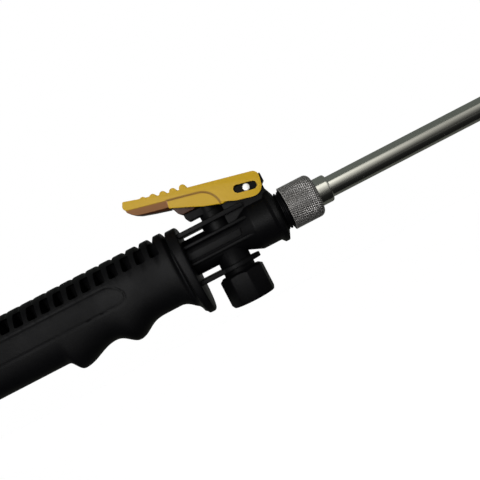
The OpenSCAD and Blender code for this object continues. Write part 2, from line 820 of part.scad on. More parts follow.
// Centre of the rib's foot in the lever's own slope, from where it stands over the tab
function foot_s() = -foot_behind * cos(lever_tilt) - (foot_z - pin_z) * sin(lever_tilt);
function foot_n() = -foot_behind * sin(lever_tilt) + (foot_z - pin_z) * cos(lever_tilt);
function foot_point(a) = [foot_s() + foot_r * 0.98 * cos(a), foot_n() + foot_r * 0.98 * sin(a)];

module lever_solid() {
    difference() {
        union() {
            rotate([90, 0, 0])
                linear_extrude(height = lever_w, center = true) {
                    top_outline();
                    cheek_outline();
                }
            thumb_ridges();
        }
        translate([-35, -inner_half, -20])
            cube([34.5, 2 * inner_half, 20 + lever_top - web_t]);
        translate([-0.6, -inner_half, -20])
            cube([20, 2 * inner_half, 40]);
        translate([-0.65, 0, 0.2]) {
            for (end = [-slot_travel / 2, slot_travel / 2])
                translate([end, 0, 0])
                    rotate([90, 0, 0])
                        cylinder(h = 2 * lever_w, r = slot_r, center = true, $fn = round_fn);
            cube([slot_travel, 2 * lever_w, 2 * slot_r], center = true);
        }
    }
    thumb_keel();
    lever_rib();
}

module lever() {
    color([0.8, 0.64, 0.2])
        translate([pin_x, 0, pin_z])
            rotate([0, lever_tilt, 0])
                lever_solid();
}

// ---- Lance ----

module knurled_nut() {
    thread_r = lance_thread_d / 2 + thread_gap;
    color([0.62, 0.62, 0.6])
        difference() {
            turned_x([[nut_x, 0], [nut_x, nut_r - 1.3], [nut_x + 1.2, nut_r], [nut_front - 2.2, nut_r],
                [nut_front - 0.8, nut_r - 1.1], [nut_front, collar_r + 0.6], [nut_front, 0]]);
            rod_x(nut_x - past, nut_front - nut_lip, thread_r);
            rod_x(nut_x, nut_front + past, collar_r + running);
        }
}

module tube_collar() {
    front = nut_front + collar_show;
    color([0.75, 0.75, 0.74])
        difference() {
            turned_x([[collar_flange_x, 0], [collar_flange_x, collar_flange_r],
                [collar_flange_x + collar_flange_t, collar_flange_r], [collar_flange_x + collar_flange_t, collar_r],
                [front - 0.8, collar_r], [front - 0.2, collar_r - 0.4], [front, collar_r - 1], [front, 0]]);
            rod_x(collar_flange_x - past, front + past, tube_d / 2 + seated);
        }
}

module collar_seal() {
    color([0.15, 0.15, 0.15])
        difference() {
            rod_x(thread_end, collar_flange_x, collar_flange_r);
            rod_x(thread_end - past, collar_flange_x + past, tube_d / 2 + seated);
        }
}

module lance_tube() {
    color([0.75, 0.75, 0.74])
        difference() {
            rod_x(tube_x, tube_end, tube_d / 2);
            rod_x(tube_x - past, tube_end + past, tube_d / 2 - tube_wall);
        }
}

// ---- Nozzle ----

module nozzle_body() {
    hex_r = nozzle_flats / 2 / cos(30);
    color([0.78, 0.62, 0.3])
        difference() {
            union() {
                turned_x([[tube_end - nozzle_socket, 0], [tube_end - nozzle_socket, tube_d / 2 + 1.1],
                    [tube_end - nozzle_socket + 1, tube_d / 2 + 1.8], [tube_end + 1, tube_d / 2 + 1.8],
                    [tube_end + 1, 0]]);
                intersection() {
                    translate([tube_end - 2, 0, 0])
                        rotate([0, 90, 0])
                            cylinder(h = 7, r = hex_r, $fn = 6);
                    turned_x([[tube_end - 2, 0], [tube_end - 2, hex_r - 0.9], [tube_end - 0.5, hex_r],
                        [tube_end + 3.5, hex_r], [tube_end + 5, hex_r - 0.9], [tube_end + 5, 0]]);
                }
                rod_x(tube_end, tube_end + 11, land_r);
                rod_x(tube_end, tube_end + 17, nozzle_thread_r - 0.4);
                ridges_x(tube_end + 11.2, tube_end + 16.8, nozzle_thread_r, 0.5, 1.25);
            }
            rod_x(tube_end - nozzle_socket - past, tube_end, tube_d / 2 + seated);
            rod_x(tube_end - past, tube_end + 17 + past, 2.6);
        }
}

module nozzle_core() {
    color([0.7, 0.7, 0.72])
        difference() {
            turned_x([[tube_end + 10, 0], [tube_end + 10, 2.6 - seated], [tube_end + 17, 2.6 - seated],
                [tube_end + 17, 3.6], [tube_end + 20, 3.6], [tube_end + 23.2, orifice_r], [tube_end + 23.2, 0]]);
            rod_x(tube_end + 10 - past, tube_end + 16, 1.4);
            for (turn = [0 : 90 : 359])
                rotate([turn, 0, 0])
                    translate([tube_end + 14, -0.6, 0.8])
                        cube([7, 1.2, 4]);
        }
}

module nozzle_seal() {
    color([0.15, 0.15, 0.15])
        ring_x_seal(tube_end + 8.5, land_r + nozzle_seal_r + running, nozzle_seal_r);
}

module nozzle_cap() {
    x0 = tube_end + 5.5;
    x1 = x0 + nozzle_cap_len;
    r = nozzle_cap_r;
    bore = land_r + 0.3;
    color([0.78, 0.62, 0.3])
        difference() {
            union() {
                turned_x([[x0, 0], [x0, r - 0.8], [x0 + 0.8, r], [x0 + 12, r], [x0 + 12.8, r - 0.8],
                    [x1 - 2.5, r - 1.2], [x1, r - 3], [x1, 0]]);
                for (turn = [0 : 15 : 359])
                    rotate([turn, 0, 0])
                        translate([x0 + 1.5, 0, r])
                            rotate([0, 90, 0])
                                cylinder(h = 9.5, r = 0.45, $fn = 24);
            }
            rod_x(x0 - past, tube_end + 11.8, bore);
            rod_x(x0 + 1.8, x0 + 4.2, land_r + 2 * nozzle_seal_r + 2 * running);
            rod_x(tube_end + 11, tube_end + 18, nozzle_thread_r + thread_gap);
            rod_x(tube_end + 17, tube_end + 20.5, 4.6);
            turned_x([[tube_end + 20.4, 0], [tube_end + 20.4, 4.6], [tube_end + 24.4, orifice_r],
                [tube_end + 24.4, 0]]);
            rod_x(tube_end + 20, x1 + past, orifice_r);
            turned_x([[x1 - 1.4, 0], [x1 - 1.4, orifice_r], [x1 + 0.2, orifice_r + 2.4], [x1 + 0.2, 0]]);
        }
}

grip();
inlet_connector();
inlet_filter();
inlet_washer();
hose_tail();
hose_nut();
feed_tube();
feed_seal();
valve_body();
seat_ring();
stem_seal();
gland_bush();
valve_stem();
poppet_washer();
valve_plunger();
return_spring();
bottom_cap();
cap_seal();
lever_pin();
lever();
knurled_nut();
tube_collar();
collar_seal();
lance_tube();
nozzle_body();
nozzle_core();
nozzle_seal();
nozzle_cap();
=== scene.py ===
"""Looks of a hand spray lance, dressed round its frame.

Meshes are shaped in millimetres and set in metres.
"""

import math

import bmesh
import bpy
from mathutils import Matrix, Vector


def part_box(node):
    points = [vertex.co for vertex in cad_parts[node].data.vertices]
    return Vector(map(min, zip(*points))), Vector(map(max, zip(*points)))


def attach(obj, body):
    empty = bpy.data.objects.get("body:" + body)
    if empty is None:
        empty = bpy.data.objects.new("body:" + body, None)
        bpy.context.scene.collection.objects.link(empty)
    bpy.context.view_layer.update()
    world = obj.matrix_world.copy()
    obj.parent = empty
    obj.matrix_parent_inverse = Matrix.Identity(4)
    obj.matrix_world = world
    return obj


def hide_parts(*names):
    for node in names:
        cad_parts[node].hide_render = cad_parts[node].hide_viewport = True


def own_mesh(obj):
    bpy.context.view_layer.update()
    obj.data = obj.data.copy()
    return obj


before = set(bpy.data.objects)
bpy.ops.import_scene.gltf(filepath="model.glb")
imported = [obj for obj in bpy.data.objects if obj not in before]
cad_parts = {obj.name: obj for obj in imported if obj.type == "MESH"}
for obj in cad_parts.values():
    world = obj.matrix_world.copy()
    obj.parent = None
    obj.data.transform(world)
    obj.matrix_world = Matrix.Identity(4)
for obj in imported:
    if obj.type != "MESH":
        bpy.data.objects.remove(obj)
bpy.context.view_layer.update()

# ---- Camera ----
# It looks squarely at the lance's side from close by, tipped so that the lance climbs to the right.

MM = 0.001


def box_mm(node):
    """Lowest and highest corner of a CAD node, in millimetres."""
    low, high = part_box(node)
    return low / MM, high / MM


cap_low, cap_high = box_mm("bottom_cap")
valve_x = (cap_low.x + cap_high.x) / 2
picture_px = 480
stand_off_px = 560
pixel_mm = 0.46
climb = math.radians(27.4)
aim_ahead = 6.2
aim_height = -2.8

camera = bpy.data.objects.new("camera", bpy.data.cameras.new("camera"))
bpy.context.scene.collection.objects.link(camera)
bpy.context.scene.camera = camera
camera.data.lens = camera.data.sensor_width * stand_off_px / picture_px
camera.data.clip_start = 0.01
camera.location = Vector((valve_x + aim_ahead, -stand_off_px * pixel_mm, aim_height)) * MM
camera_right = Vector((math.cos(climb), 0, -math.sin(climb)))
camera_up = Vector((math.sin(climb), 0, math.cos(climb)))
camera.rotation_euler = Matrix((camera_right, camera_up, (0, -1, 0))).transposed().to_euler()

# ---- Hose tail ----
# Turned brass tail, pushed into the hose: a plain land, sawtooth barbs and a flange that the nut
# presses home.


def soften(corners, closed=True, steps=5):
    """An outline through the corners, each rounded by a fillet of its third number."""
    outline = []
    last = len(corners) - 1
    for i, corner in enumerate(corners):
        here = Vector(corner[:2])
        radius = corner[2] if len(corner) > 2 else 0
        if not radius or (not closed and i in (0, last)):
            outline.append(here)
            continue
        to_last = (Vector(corners[i - 1][:2]) - here).normalized()
        to_next = (Vector(corners[(i + 1) % (last + 1)][:2]) - here).normalized()
        half = to_last.angle(to_next) / 2
        centre = here + (to_last + to_next).normalized() * radius / math.sin(half)
        start = here + to_last * radius / math.tan(half) - centre
        end = here + to_next * radius / math.tan(half) - centre
        sweep = math.atan2(start.x * end.y - start.y * end.x, start.dot(end))
        for k in range(steps + 1):
            outline.append(centre + Matrix.Rotation(sweep * k / steps, 2) @ start)
    return outline


def lathe(outline, steps=128, closed=True, upright=False):
    """A turned solid: (x, radius) about the lance's axis, or upright (radius, z) about the valve's."""
    mesh = bmesh.new()
    if upright:
        verts = [mesh.verts.new((valve_x + r, 0, z)) for r, z in outline]
    else:
        verts = [mesh.verts.new((x, 0, r)) for x, r in outline]
    ring = verts[1:] + (verts[:1] if closed else [])
    edges = [mesh.edges.new(pair) for pair in zip(verts, ring)]
    bmesh.ops.spin(mesh, geom=verts + edges, cent=(valve_x if upright else 0, 0, 0),
                   axis=(0, 0, 1) if upright else (1, 0, 0), angle=math.tau, steps=steps, use_merge=True)
    bmesh.ops.remove_doubles(mesh, verts=mesh.verts, dist=0.0005)
    bmesh.ops.recalc_face_normals(mesh, faces=mesh.faces)
    return mesh


def set_piece(name, mesh, body, slot, finish, *nodes, crease=32):
    """Sets a mesh in place as a finished piece that rides on a body and stands for CAD nodes."""
    bmesh.ops.scale(mesh, vec=(MM, MM, MM), verts=mesh.verts)
    data = bpy.data.meshes.new(name)
    mesh.to_mesh(data)
    mesh.free()
    data.shade_smooth()
    data.set_sharp_from_angle(angle=math.radians(crease))
    data.materials.append(finish)
    piece = bpy.data.objects.new(name, data)
    bpy.context.scene.collection.objects.link(piece)
    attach(piece, body)
    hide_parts(*nodes)
    return piece


class Dab:
    """One value in a finish that is being mixed: sums and products of dabs add Math nodes."""

    def __init__(self, tree, socket=None):
        self.tree = tree
        self.socket = socket

    def node(self, kind, settings=None, values=None, out=0):
        """Adds a node with its settings, such as an operation or a ramp's stops, and sockets' values."""
        made = self.tree.nodes.new(kind)
        for name, value in (settings or {}).items():
            if name == "stops":
                elements = made.color_ramp.elements
                while len(elements) < len(value):
                    elements.new(0.5)
                for element, (place, colour) in zip(elements, value):
                    element.position = place
                    element.color = colour
            else:
                setattr(made, name, value)
        for name, value in (values or {}).items():
            if isinstance(value, Dab):
                self.tree.links.new(value.socket, made.inputs[name])
            else:
                made.inputs[name].default_value = value
        return Dab(self.tree, made.outputs[out])

    def math(self, operation, a, b=0.0):
        return self.node("ShaderNodeMath", {"operation": operation}, {0: a, 1: b})

    def __add__(self, other):
        return self.math("ADD", self, other)

    __radd__ = __add__

    def __sub__(self, other):
        return self.math("SUBTRACT", self, other)

    def __rsub__(self, other):
        return self.math("SUBTRACT", other, self)

    def __mul__(self, other):
        return self.math("MULTIPLY", self, other)

    __rmul__ = __mul__


def new_finish(name, **constants):
    """A bare material, its shader, and its Object coordinates as a dab."""
    finish = bpy.data.materials.new(name)
    finish.use_nodes = True
    tree = finish.node_tree
    shader = tree.nodes["Principled BSDF"]
    for socket, value in constants.items():
        shader.inputs[socket.replace("_", " ")].default_value = value
    return finish, shader, Dab(tree).node("ShaderNodeTexCoord", out=3)


def speckle(place, scale, detail=3.0, stretch=None):
    """Noise at a scale per metre, stretched by dividing the place along each axis."""
    if stretch:
        place = place.node("ShaderNodeMapping", {}, {"Vector": place, "Scale": stretch})
    return place.node("ShaderNodeTexNoise", {}, {"Vector": place, "Scale": scale, "Detail": detail})


def band(place, value, low, high):
    """0 below low, 1 above high, straight between."""
    return place.node("ShaderNodeMapRange", {}, {"Value": value, "From Min": low, "From Max": high})


def blend(place, share, first, second):
    """A colour from first to second by a share."""
    return place.node("ShaderNodeMix", {"data_type": "RGBA"}, {0: share, 6: first, 7: second}, out=2)


def paint(shader, place, height=None, depth=0.0, **sockets):
    """Links dabs to the shader's sockets, and a height, in metres, through a Bump."""
    for name, value in sockets.items():
        place.tree.links.new(value.socket, shader.inputs[name.replace("_", " ")])
    if height:
        bump = place.node("ShaderNodeBump", {}, {"Height": height, "Strength": 1.0, "Distance": depth})
        place.tree.links.new(bump.socket, shader.inputs["Normal"])


turned_brass, shader, place = new_finish("turned_brass", Metallic=1.0)
tool_lines = speckle(place, 420.0, 2.0, (14.0, 1.0, 1.0))
tarnish = band(place, speckle(place, 160.0), 0.35, 0.75)
paint(shader, place, tool_lines, 0.00003,
      Base_Color=blend(place, tarnish, (0.72, 0.5, 0.2, 1), (0.5, 0.33, 0.13, 1)),
      Roughness=0.2 + 0.18 * tarnish + 0.08 * tool_lines)

tail_r = 4.25
tail_bore_r = 2.5
tail_plain = 8
barb_pitch = 3
barb_count = 4
barb_land = 0.3
barb_root_r = tail_r - 0.6
flange_t = 3
tail_high = box_mm("hose_tail")[1]
flange_r = tail_high.z
flange_x = tail_high.x - flange_t
corners = [(0, tail_bore_r, 0.2), (0, tail_r, 0.35), (tail_plain, tail_r, 0.05),
           (tail_plain, barb_root_r, 0.05)]
for i in range(1, barb_count + 1):
    crest_x = tail_plain + i * barb_pitch
    corners += [(crest_x - barb_land, tail_r, 0.1), (crest_x, tail_r, 0.05)]
    if i < barb_count:
        corners.append((crest_x, barb_root_r, 0.05))
corners += [(flange_x, tail_r, 0.3), (flange_x, flange_r, 0.3), (tail_high.x, flange_r, 0.3),
            (tail_high.x, tail_bore_r, 0.2)]
set_piece("hose_tail_barbed", lathe(soften(corners, steps=3)), "lance_body", "brass", turned_brass,
          "hose_tail")

# ---- Inlet washer and the seals ----
# Black nitrile rings and flat washers, hidden once the lance is screwed together.

seal_rubber, shader, place = new_finish("seal_rubber", Roughness=0.62)
bloom = speckle(place, 700.0)
paint(shader, place, bloom, 0.00002,
      Base_Color=blend(place, bloom, (0.012, 0.012, 0.012, 1), (0.03, 0.03, 0.03, 1)))


def dress(finish, *nodes):
    """Gives CAD nodes that keep their shape a finish."""
    for node in nodes:
        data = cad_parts[node].data
        data.materials.clear()
        data.materials.append(finish)


dress(seal_rubber, "inlet_washer", "feed_seal", "stem_seal", "poppet_washer", "cap_seal", "collar_seal",
      "nozzle_seal")

# ---- Hose nut ----
# Moulded black nut with rounded ribs for the fingers; it draws the tail's flange on to the inlet washer.

black_nylon, shader, place = new_finish("black_nylon", Specular_IOR_Level=0.09)
skin_grain = speckle(place, 2600.0, 2.0)
handling = band(place, speckle(place, 60.0, 4.0), 0.4, 0.7)
flow_marks = speckle(place, 120.0, 3.0, (0.25, 1.0, 1.0))
paint(shader, place, skin_grain + 0.6 * flow_marks, 0.000035,
      Base_Color=blend(place, flow_marks, (0.0018, 0.0018, 0.0022, 1), (0.003, 0.003, 0.0036, 1)),
      Roughness=0.4 + 0.1 * handling + 0.06 * skin_grain)


def emboss(mesh, radius_at):
    """Moves each vertex in or out from the lance's axis to radius_at(x, angle, radius)."""
    for vert in mesh.verts:
        radius = math.hypot(vert.co.y, vert.co.z)
        if radius > 0.001:
            grown = radius_at(vert.co.x, math.atan2(vert.co.y, vert.co.z), radius) / radius
            vert.co.y *= grown
            vert.co.z *= grown
    bmesh.ops.recalc_face_normals(mesh, faces=mesh.faces)
    return mesh


def fine_run(x0, x1, radius, pieces):
    """A straight run of an outline, cut in equal pieces so that a pattern can be embossed on it."""
    return [(x0 + (x1 - x0) * k / pieces, radius) for k in range(pieces + 1)]


def fade(x, x0, x1, run):
    """1 between x0 and x1, falling to 0 over a run outside them."""
    share = min(1.0, max(0.0, (x - x0) / run + 1), max(0.0, (x1 - x) / run + 1))
    return share * share * (3 - 2 * share)


nut_low, nut_high = box_mm("hose_nut")
finger_ribs = 16
rib_height = 0.9
rib_x0 = nut_low.x + 3.6
rib_x1 = nut_high.x - 3
hose_nut_r = nut_high.z - rib_height
hose_nut_bore = 9.9
tail_hole_r = tail_r + 0.35
nut_seat_x = tail_high.x - 3.1


def hose_nut_radius(x, angle, radius):
    """Rounded ribs for the fingers, which run out before the nut's rims."""
    if radius < hose_nut_r - 0.5:
        return radius
    crest = max(0.0, math.cos(finger_ribs * angle)) ** 0.8
    return radius + rib_height * crest * fade(x, rib_x0, rib_x1, 1.0)


rear = soften([(nut_low.x, tail_hole_r, 0.3), (nut_low.x, hose_nut_r - 1.5, 0.8),
               (nut_low.x + 1.5, hose_nut_r, 0.8), (nut_low.x + 2.4, hose_nut_r)], closed=False)
front = soften([(nut_high.x - 1.8, hose_nut_r), (nut_high.x - 1, hose_nut_r, 0.6),
                (nut_high.x, hose_nut_r - 1, 0.4), (nut_high.x, hose_nut_bore, 0.3),
                (nut_seat_x, hose_nut_bore), (nut_seat_x, tail_hole_r), (nut_low.x, tail_hole_r)],
               closed=False)
shank = fine_run(nut_low.x + 2.5, nut_high.x - 1.9, hose_nut_r, 24)
hose_nut = emboss(lathe(rear + shank + front[:-1], finger_ribs * 14), hose_nut_radius)
set_piece("hose_nut_ribbed", hose_nut, "hose_nut", "black_plastic", black_nylon, "hose_nut", crease=40)

# ---- Inlet connector, its filter and the feed tube ----
# A brass connector with a cut thread is bonded in the butt, with a filter inside and a tube to the valve.


def thread_radius(root, depth, pitch, x0, x1):
    """Radius of a cut thread between two stations, for emboss: a real helix that runs out at both ends."""
    def radius_at(x, angle, radius):
        if radius < root - 0.05 or radius > root + 0.05 or not x0 < x < x1:
            return radius
        turn = (x / pitch - angle / math.tau) % 1
        flank = min(1.0, max(0.0, 1.6 - 4.2 * abs(turn - 0.5)))
        return radius + depth * flank * fade(x, x0 + 0.4, x1 - 0.4, 0.4)
    return radius_at


conn_low, conn_high = box_mm("inlet_connector")
conn_flange_r = conn_high.z
conn_flange_x = conn_low.x + 11.4
conn_flange_end = conn_flange_x + 1.6
conn_stub_r = 7.5
inlet_root_r = 8.8
inlet_bore_r = 5.1
thread_depth = 0.7
thread_pitch = 1.5
corners = [(conn_low.x, inlet_bore_r + 1.5), (conn_low.x, inlet_root_r - 0.6)]
corners += fine_run(conn_low.x + 0.5, conn_flange_x - 0.2, inlet_root_r, 84)
corners += soften([(conn_flange_x, inlet_root_r), (conn_flange_x, conn_flange_r, 0.3),
                   (conn_flange_end, conn_flange_r, 0.3), (conn_flange_end, conn_stub_r),
                   (conn_high.x, conn_stub_r), (conn_high.x, inlet_bore_r)], closed=False)
inlet_thread = thread_radius(inlet_root_r, thread_depth, thread_pitch, conn_low.x, conn_flange_x)
set_piece("inlet_connector_cut", emboss(lathe(corners, 96), inlet_thread), "lance_body", "brass",
          turned_brass, "inlet_connector", crease=50)

natural_nylon, shader, place = new_finish("natural_nylon", Roughness=0.45, Subsurface_Weight=0.1)
cloud = speckle(place, 300.0)
paint(shader, place, Base_Color=blend(place, cloud, (0.62, 0.6, 0.52, 1), (0.74, 0.72, 0.66, 1)))
dress(natural_nylon, "inlet_filter")
dress(turned_brass, "feed_tube", "seat_ring", "gland_bush")

# ---- Grip ----
# One hollow black moulding: castellated top with side pockets, finger hollows, a bare sunk label
# outline on each side, and a finger guard that flares from the underside.

grip_low, grip_high = box_mm("grip")
guard_x = grip_high.x
butt_x = grip_low.x
grip_half = 13.0
guard_half = grip_high.y
guard_t = 4.6
guard_rear = guard_x - guard_t
guard_top = 16.1
guard_drop = -grip_low.z
guard_edge = 0.9
guard_lean = 0.045
guard_root = 0.8
guard_fillet = 0.22
grip_top = 16.3
grip_drop = 17.2
butt_round = 6.0
bump_start = 9.2
bump_pitch = 6.7
bump_rise = 0.7
bump_count = 16
gap_run = 30
gap_shallow, gap_deep = 1.0, 3.2
gap_half, gap_spread = 1.3, 0.6
gap_power = 1.2
crests = ((36.8, 5.2, 27.2, 20.7), (65.0, 5.2, 38.3, 10.8))
crest_power = 5.6
flare_run = 9.1
flare_power = 2.15
flare_short = 1.7
groove_depth = 0.8
groove_back = 1.1
groove_width = 1.2
top_square, low_square = 0.85, 0.75
grip_bore_r = 7.05


def bell(distance, run):
    """1 at a crest, falling smoothly to 0 at a run on either side."""
    if abs(distance) >= run:
        return 0.0
    return ((1 + math.cos(math.pi * distance / run)) / 2) ** crest_power


def underside(x):
    """Depth of the finger hollows, crests and flare at a station."""
    depth = grip_drop
    for back, rise, front_run, rear_run in crests:
        ahead = x - (guard_x - back)
        depth += rise * bell(ahead, front_run if ahead > 0 else rear_run)
    to_guard = guard_rear - x
    if to_guard < flare_run:
        depth += (guard_drop - flare_short - grip_drop) * (1 - max(to_guard, 0) / flare_run) ** flare_power
    return depth


def topside(x):
    """Height of the bumps' tops, and of the V-shaped gaps between them, at a station."""
    nearness = max(0.0, 1 - (guard_rear - x) / gap_run) ** gap_power
    gap = min(abs(guard_x - bump_start + (0.5 - k) * bump_pitch - x) for k in range(bump_count + 1))
    deep = min(gap_deep, gap_shallow + gap_deep * nearness)
    return grip_top + bump_rise - deep * max(0.0, 1 - gap / (gap_half + gap_spread * nearness)) ** gap_power


def root_groove(x):
    """How far the skin draws in where the grip meets the guard."""
    return groove_depth * math.exp(-((x - (guard_rear - groove_back)) / groove_width) ** 2)


def rounded(angle, power):
    """A sine or cosine raised to a power with its sign kept, which squares up a round section."""
    return math.copysign(abs(angle) ** power, angle)


label_back = 32.0
label_length = 86.0
label_low, label_high = -3.9, 6.0
label_line = 0.38
label_depth = 0.24
label_corner, label_swept = 3.2, 8.0


def label_groove(x, z):
    """How deep the fine outline of the bare label panel is cut at a point of the side."""
    rise = z - (label_low + label_high) / 2
    ahead = x - (guard_x - label_back - label_length / 2)
    corner = label_swept if rise > 0 and ahead > 0 else label_corner
    across = abs(rise) - (label_high - label_low) / 2 + corner
    along = abs(ahead) - label_length / 2 + corner
    outside = math.hypot(max(across, 0), max(along, 0)) + min(max(across, along), 0) - corner
    return label_depth * math.exp(-(outside / label_line) ** 2)


def grip_section(x, inset, guard_share):
    """Half width, top and depth of the grip's section, drawn in by an inset and blended to the guard."""
    half = grip_half + (guard_half - grip_half) * guard_share
    top = topside(x) + (guard_top - topside(x)) * guard_share
    low = underside(x) + (guard_drop - underside(x)) * guard_share
    return half - inset, top - inset, low - inset


half_bump = (0.7, 1.5, 1.85, 2.2, 2.55, 2.85, 3.1)
along_bump = [-bump_pitch / 2, 0.0] + [way * step for step in half_bump for way in (-1, 1)]
bump_places = [guard_x - bump_start - k * bump_pitch + step for k in range(bump_count) for step in along_bump]
neck_x = guard_x - bump_start + bump_pitch / 2
last_x = guard_rear - guard_root
neck_places = [neck_x + (last_x - neck_x) * k / 4 for k in range(5)]
quarter = [math.radians(18 * k) for k in range(6)]
stations = [(butt_x + butt_round * (1 - math.cos(turn)), butt_round * (1 - math.sin(turn)), 0.0)
            for turn in [math.radians(9 * k) for k in range(11)]]
stations += [(x, 0.0, 0.0) for x in sorted(bump_places) if x > butt_x + butt_round + 0.05]
stations += [(x, root_groove(x), 0.0) for x in neck_places]
for turn in quarter[1:]:
    x = guard_rear - guard_root * (1 - math.sin(turn))
    stations.append((x, root_groove(x), guard_fillet * (1 - math.cos(turn))))
stations += [(guard_rear + guard_edge * (1 - math.cos(turn)), guard_edge * (1 - math.sin(turn)), 1.0)
             for turn in quarter]
stations += [(guard_x - guard_edge * (1 - math.cos(turn)), guard_edge * (1 - math.sin(turn)), 1.0)
             for turn in reversed(quarter)]

grip = lathe([(k, 1.0) for k in range(len(stations))], 240, closed=False)
for vert in grip.verts:
    x, inset, guard_share = stations[round(vert.co.x)]
    if not guard_share:
        inset = max(inset, root_groove(x))
    half, top, low = grip_section(x, inset, guard_share)
    side, rise = vert.co.y, vert.co.z
    power = top_square if rise > 0 else low_square
    vert.co = (x, half * rounded(side, power), (top if rise > 0 else low) * rounded(rise, power))
    if guard_share == 1 and x < guard_x - guard_t / 2:
        vert.co.x -= guard_lean * vert.co.z
    if abs(side) > 0.5 and guard_share == 0:
        vert.co.y -= math.copysign(label_groove(x, vert.co.z), vert.co.y)
for end_x in (butt_x, guard_x):
    rim = [e for e in grip.edges if e.is_boundary and abs(e.verts[0].co.x - end_x) < 0.01]
    bmesh.ops.contextual_create(grip, geom=rim)
bmesh.ops.recalc_face_normals(grip, faces=grip.faces)


def prism(outline, half, rim=0.0, rim_steps=3, centre_y=0.0):
    """An outline in X and Z with a thickness across the lance, its two rims rounded."""
    mesh = bmesh.new()
    face = mesh.faces.new([mesh.verts.new((x, centre_y - half, z)) for x, z in outline])
    made = bmesh.ops.extrude_face_region(mesh, geom=[face])
    lid = [made_part for made_part in made["geom"] if isinstance(made_part, bmesh.types.BMVert)]
    bmesh.ops.translate(mesh, vec=(0, 2 * half, 0), verts=lid)
    bmesh.ops.recalc_face_normals(mesh, faces=mesh.faces)
    if rim:
        rims = [e for e in mesh.edges if abs(e.verts[0].co.y - e.verts[1].co.y) < 0.0001]
        bmesh.ops.bevel(mesh, geom=rims, offset=rim, offset_type="OFFSET", segments=rim_steps, profile=0.5,
                        affect="EDGES", clamp_overlap=True, material=-1)
    return mesh


def gather(*meshes):
    """Several separate meshes as one, for a cut that takes them all."""
    whole = bmesh.new()
    for mesh in meshes:
        data = bpy.data.meshes.new("gathered")
        mesh.to_mesh(data)
        mesh.free()
        whole.from_mesh(data)
        bpy.data.meshes.remove(data)
    return whole


def carve(operation, blank, *tools):
    """Joins tools to a blank, or cuts them out of it."""
    blocks = []
    for mesh in (blank,) + tools:
        data = bpy.data.meshes.new("block")
        mesh.to_mesh(data)
        mesh.free()
        block = bpy.data.objects.new("block", data)
        bpy.context.scene.collection.objects.link(block)
        blocks.append(block)
    for tool in blocks[1:]:
        step = blocks[0].modifiers.new("step", "BOOLEAN")
        step.operation = operation
        step.solver = "EXACT"
        step.object = tool
    bpy.context.view_layer.update()
    carved = blocks[0].evaluated_get(bpy.context.evaluated_depsgraph_get())
    result = bmesh.new()
    result.from_mesh(carved.to_mesh())
    carved.to_mesh_clear()
    for block in blocks:
        data = block.data
        bpy.data.objects.remove(block)
        bpy.data.meshes.remove(data)
    return result


pocket_top_w = 4.0
pocket_low_w = 4.7
pocket_h = 6.3
pocket_z = 11.1
pocket_spine = 4.0
pocket_lean = 2.4
pocket_reach = 5.5
bond = 0.02


def pocket(back, side):
    """A cutter for one side pocket, wider and deeper below, that opens out at the skin."""
    outline = soften([(-pocket_low_w / 2, -pocket_h / 2, 0.9), (pocket_low_w / 2, -pocket_h / 2, 0.9),
                      (pocket_top_w / 2, pocket_h / 2, 0.7), (-pocket_top_w / 2, pocket_h / 2, 0.7)],
                     steps=4)
    cutter = prism(outline, pocket_reach, 0.4, 2, side * (pocket_spine + pocket_reach))
    for vert in cutter.verts:
        if abs(vert.co.y) < pocket_spine + 1:
            vert.co.y -= side * pocket_lean * (0.5 - vert.co.z / pocket_h)
    bmesh.ops.translate(cutter, vec=(guard_x - back, 0, pocket_z), verts=cutter.verts)
    return cutter


pocket_places = [bump_start + (k + 0.5) * bump_pitch for k in range(bump_count - 1)]
pockets = gather(*[pocket(back, side) for back in pocket_places for side in (-1, 1)])
socket_r = conn_stub_r + bond
socket_bore = lathe([(butt_x - 1, 0), (butt_x - 1, socket_r), (conn_high.x, socket_r),
                     (conn_high.x, grip_bore_r), (guard_x + 1, grip_bore_r), (guard_x + 1, 0)],
                    96, closed=False)
grip = carve("DIFFERENCE", grip, pockets, socket_bore)
set_piece("grip_moulded", grip, "lance_body", "black_plastic", black_nylon, "grip", crease=38)

# ---- Valve body ----
# One black moulding: a core with a cone and barrel along the lance, plates and ribs that stiffen it,
# the neck of the valve chamber, a block for the lever's pin, and a threaded nose for the knurled nut.

plate_half = 10.0
body_rear = guard_x - 1.0
core_r = 8.6
barrel_x = valve_x + 14.5
barrel_r = 11.5
ring_x = valve_x + 24.4
ring_r = 13.2
nose_x = valve_x + 28.4
nose_end = box_mm("valve_body")[1].x
nose_root_r = 8.3
tube_r = 5.0
tube_hole_r = tube_r + bond
tube_low, tube_high = box_mm("lance_tube")
upper_plate_foot, upper_plate_top = 10.1, 12.3
lower_plate_foot, lower_plate_top = -13.3, -11.1
band_foot, band_top = -1.3, 2.2
disc_r = 11.6
tower_r = 6.8
tower_top = 12.2
neck_r = 7.6
neck_foot = -27
web_half = 6.7
web_foot, web_top = 11.5, 15.2
guide_bore_r = 5.75
pin_low, pin_high = box_mm("lever_pin")
pin_x = (pin_low.x + pin_high.x) / 2
pin_z = (pin_low.z + pin_high.z) / 2


def slab(x0, x1, half, z0, z1, edge=0.35):
    """A plate or rib with rounded edges."""
    corners = [(x0, z0, edge), (x1, z0, edge), (x1, z1, edge), (x0, z1, edge)]
    return prism(soften(corners, steps=3), half, edge)


def drum(corners):
    """A solid drum, turned about the valve's axis from its outline's (radius, z) corners."""
    return lathe(soften(corners, closed=False), 96, closed=False, upright=True)


